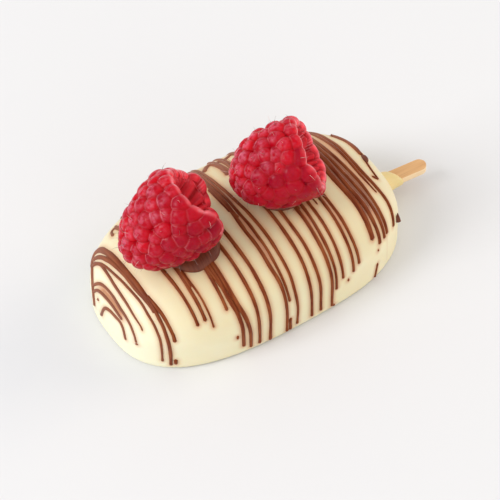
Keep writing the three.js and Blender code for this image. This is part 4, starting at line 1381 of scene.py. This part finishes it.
def make_berry(berry):
    """A berry's skin, and the places and directions of its drupelets' tops."""
    rows, sides = GRID_ROWS, GRID_SIDES
    skin = BerrySkin(berry, rows, sides)
    random = np.random.default_rng(berry["seed"])
    rim = skin.rim_places(random)
    tops = [skin.push(place, True, random) for place in rim]
    tops += [skin.push(place, False, random) for place in skin.side_places(rim, random)]
    skin.fold()
    grid = skin.finished()
    ends = [grid[0].mean(axis=0), grid[-1].mean(axis=0)]
    points = placed_berry(np.vstack([grid[1:-1].reshape(-1, 3), ends]), berry)
    tip, end = len(points) - 2, len(points) - 1
    faces = []
    for row in range(rows - 3):
        faces.extend((a, a + sides, b + sides, b) for a, b in neighbours(row, sides))
    last = (rows - 3) * sides
    for a, b in neighbours(0, sides):
        faces += [(tip, a, b), (last + a, end, last + b)]
    made = mesh_object(berry["name"], points, faces)
    for name, values in skin.attributes(grid).items():
        values = np.clip(np.broadcast_to(values, grid.shape[:2]), 0, 1)
        store(made, name, [*values[1:-1].ravel(), values[0].mean(), values[-1].mean()])
    places = placed_berry(np.array([top for top, _ in tops]), berry)
    normals = turned_berry(np.array([normal for _, normal in tops]), berry)
    return made, places, normals


# ------------------------------------------------------------------ hairs


def hair_tree():
    """Stands one bent hair, of length 1 before it is scaled, on each point along its direction."""
    tree, given = new_tree("berry_hairs", {
        "Shortest": "NodeSocketFloat",
        "Longest": "NodeSocketFloat",
        "Thickness": "NodeSocketFloat",
        "Lean": "NodeSocketFloat",
        "Seed": "NodeSocketInt",
        "Hair": "NodeSocketMaterial",
    })
    bend = add_node(tree, "GeometryNodeCurveQuadraticBezier", {
        "Resolution": 5,
        "Start": (0, 0, 0),
        "Middle": (0.02, 0, 0.55),
        "End": (0.42, 0, 0.92),
    })
    share = add_node(tree, "GeometryNodeSplineParameter").outputs["Factor"]
    taper = add_node(tree, "ShaderNodeMapRange", {"Value": share, 3: 1.0, 4: 0.25}).outputs[0]
    thick = worked_out(tree, "MULTIPLY", taper, given["Thickness"])
    rod = add_node(tree, "GeometryNodeCurvePrimitiveCircle", {"Resolution": 4, "Radius": 1.0})
    hair = add_node(tree, "GeometryNodeCurveToMesh", {
        "Curve": bend.outputs[0],
        "Profile Curve": rod.outputs[0],
        "Scale": thick,
        "Fill Caps": True,
    })
    lean = add_node(tree, "FunctionNodeRandomValue", {
        "Min": (-1, -1, -1),
        "Max": (1, 1, 1),
        "Seed": given["Seed"],
    }, data_type="FLOAT_VECTOR").outputs[0]
    leaned = add_node(tree, "ShaderNodeVectorMath", {0: lean, "Scale": given["Lean"]},
                      operation="SCALE").outputs[0]
    aim = add_node(tree, "ShaderNodeVectorMath",
                   {0: attribute(tree, "outward", "FLOAT_VECTOR"), 1: leaned}).outputs[0]
    upright = add_node(tree, "FunctionNodeAlignRotationToVector", {"Vector": aim}, axis="Z")
    roll = add_node(tree, "FunctionNodeRandomValue", {2: 0.0, 3: 2 * math.pi, "Seed": given["Seed"]})
    spin = add_node(tree, "FunctionNodeAxisAngleToRotation",
                    {"Axis": (0, 0, 1), "Angle": roll.outputs[1]})
    turned = add_node(tree, "FunctionNodeRotateRotation",
                      {0: upright.outputs[0], 1: spin.outputs[0]}, rotation_space="LOCAL")
    size = add_node(tree, "FunctionNodeRandomValue",
                    {2: given["Shortest"], 3: given["Longest"], "Seed": given["Seed"]})
    stood = add_node(tree, "GeometryNodeInstanceOnPoints", {
        "Points": given["Geometry"],
        "Instance": hair.outputs[0],
        "Rotation": turned.outputs[0],
        "Scale": size.outputs[1],
    })
    finish_tree(tree, stood.outputs[0], given["Hair"])
    return tree


def make_hairs(berry, places, normals, material):
    """The dried styles, one from the top of most drupelets."""
    random = np.random.default_rng(berry["seed"] + 7)
    kept = random.uniform(size=len(places)) < HAIR_SHARE
    points = mesh_object("hair_roots", places[kept], [])
    store_vectors(points, "outward", normals[kept])
    values = {**HAIRS, "Seed": berry["seed"], "Hair": material}
    return grown(points, hair_tree(), values, berry["name"].replace("berry", "hairs"))


# ------------------------------------------------------------------ colour that bled


def stain_tree():
    """Marks how close each place on the coating is to the drizzle."""
    tree, given = new_tree("chocolate_bleed", {
        "Drizzle": "NodeSocketObject",
        "Reach": "NodeSocketFloat",
        "Coating": "NodeSocketMaterial",
    })
    lines = add_node(tree, "GeometryNodeObjectInfo", {"Object": given["Drizzle"]})
    gap = add_node(tree, "GeometryNodeProximity", {0: lines.outputs["Geometry"]})
    share = worked_out(tree, "DIVIDE", gap.outputs["Distance"], given["Reach"])
    marked = add_node(tree, "GeometryNodeStoreNamedAttribute", {
        "Geometry": given["Geometry"],
        "Name": "stain",
        "Value": worked_out(tree, "SUBTRACT", 1.0, share, clamp=True),
    }, data_type="FLOAT", domain="POINT")
    finish_tree(tree, marked.outputs[0], given["Coating"])
    return tree


# ------------------------------------------------------------------ the whole


def dressed(made, material, slot, *nodes):
    """Gives a piece its material and its body, and hides the CAD nodes that it stands for."""
    if not made.data.materials:
        made.data.materials.append(material)
    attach(made, "root")
    if nodes:
        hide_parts(*nodes)


def make_ice_pop():
    """Makes every piece and dresses it, hiding the CAD nodes that it stands for."""
    chocolate = chocolate_material("chocolate", **DRIZZLE_CHOCOLATE)
    shaded_dab_chocolate = chocolate_material("shaded_dab_chocolate", **SHADED_DAB_CHOCOLATE)
    cream = coating_material()
    bare_coating = make_coating()
    drizzle = make_drizzle(bare_coating, chocolate)
    bleed = {"Drizzle": drizzle, "Reach": BLEED_REACH * MM, "Coating": cream}
    coating = grown(bare_coating, stain_tree(), bleed, "coating")
    dressed(coating, cream, "coating", "bar")
    dressed(drizzle, chocolate, "chocolate")
    dressed(make_dabs(), shaded_dab_chocolate, "chocolate")
    dressed(make_stick(), wood_material(), "wood", "stick")
    flesh, hair = raspberry_material(), hair_material()
    for berry in BERRIES:
        made, tops, normals = make_berry(berry)
        dressed(made, flesh, "raspberry", berry["node"])
        hairs = make_hairs(berry, tops, normals, hair)
        dressed(hairs, hair, "raspberry")


# ------------------------------------------------------------------ stage, light and camera


def make_floor():
    """A plain pale floor, far wider than the ice pop."""
    half = 1.5
    mesh = bpy.data.meshes.new("floor")
    corners = [(-half, -half, 0), (half, -half, 0), (half, half, 0), (-half, half, 0)]
    mesh.from_pydata(corners, [], [(0, 1, 2, 3)])
    pale = (0.735, 0.742, 0.757, 1)
    mesh.materials.append(
        new_material("floor", Base_Color=pale, Roughness=0.7, Specular_IOR_Level=0.2)[0])
    scene_object("floor", mesh)


def direction_to(azimuth, elevation):
    """The direction from the ice pop to an azimuth and elevation in degrees."""
    a, e = math.radians(azimuth), math.radians(elevation)
    return Vector((math.sin(a) * math.cos(e), -math.cos(a) * math.cos(e), math.sin(e)))


# Square soft lights that face the ice pop:
# (name, azimuth, elevation, distance, size, power, colour).
LIGHTS = [
    ("window", -98, 38, 2.4, 1.1, 33, (1.0, 1.0, 1.0)),
    ("fill", -10, 30, 2.4, 1.6, 5, (1.0, 1.0, 1.0)),
    ("warm fill", 80, 28, 1.6, 0.9, 8, (1.0, 0.85, 0.68)),
]


def add_area_light(name, azimuth, elevation, distance, size, power, colour):
    """One light of the table above."""
    light = bpy.data.lights.new(name, "AREA")
    light.size = size
    light.energy = power
    light.color = colour
    made = scene_object(name, light)
    back = direction_to(azimuth, elevation)
    made.location = back * distance
    made.rotation_euler = (-back).to_track_quat("-Z", "Y").to_euler()


DAYLIGHT = {"Color": (1.0, 0.99, 0.985, 1), "Strength": 0.76}  # from all round


def light_scene():
    """Soft light from all round, and the lights of the table."""
    world = bpy.data.worlds.new("studio")
    world.use_nodes = True
    for name, value in DAYLIGHT.items():
        world.node_tree.nodes["Background"].inputs[name].default_value = value
    bpy.context.scene.world = world
    for light in LIGHTS:
        add_area_light(*light)


CAMERA = {
    "azimuth": -31.46,
    "elevation": 52.23,
    "distance": 0.5608,
    "roll": -0.92,
    "target": (-0.0070, -0.0035, 0.0100),
    "lens": 182.6,
}


def aim_camera():
    """A long lens from the front left, high above the bar."""
    data = bpy.data.cameras.new("camera")
    data.lens = CAMERA["lens"]
    data.sensor_width = 36
    data.clip_start = 0.05
    camera = scene_object("camera", data)
    back = direction_to(CAMERA["azimuth"], CAMERA["elevation"])
    camera.location = Vector(CAMERA["target"]) + back * CAMERA["distance"]
    level = (-back).to_track_quat("-Z", "Y").to_matrix()
    roll = Euler((0, 0, math.radians(CAMERA["roll"]))).to_matrix()
    camera.rotation_euler = (level @ roll).to_euler()
    bpy.context.scene.camera = camera


def set_colours():
    """Plain colours, with no film look."""
    view = bpy.context.scene.view_settings
    view.view_transform = "Standard"
    view.look = "None"


make_ice_pop()
make_floor()
light_scene()
aim_camera()
set_colours()
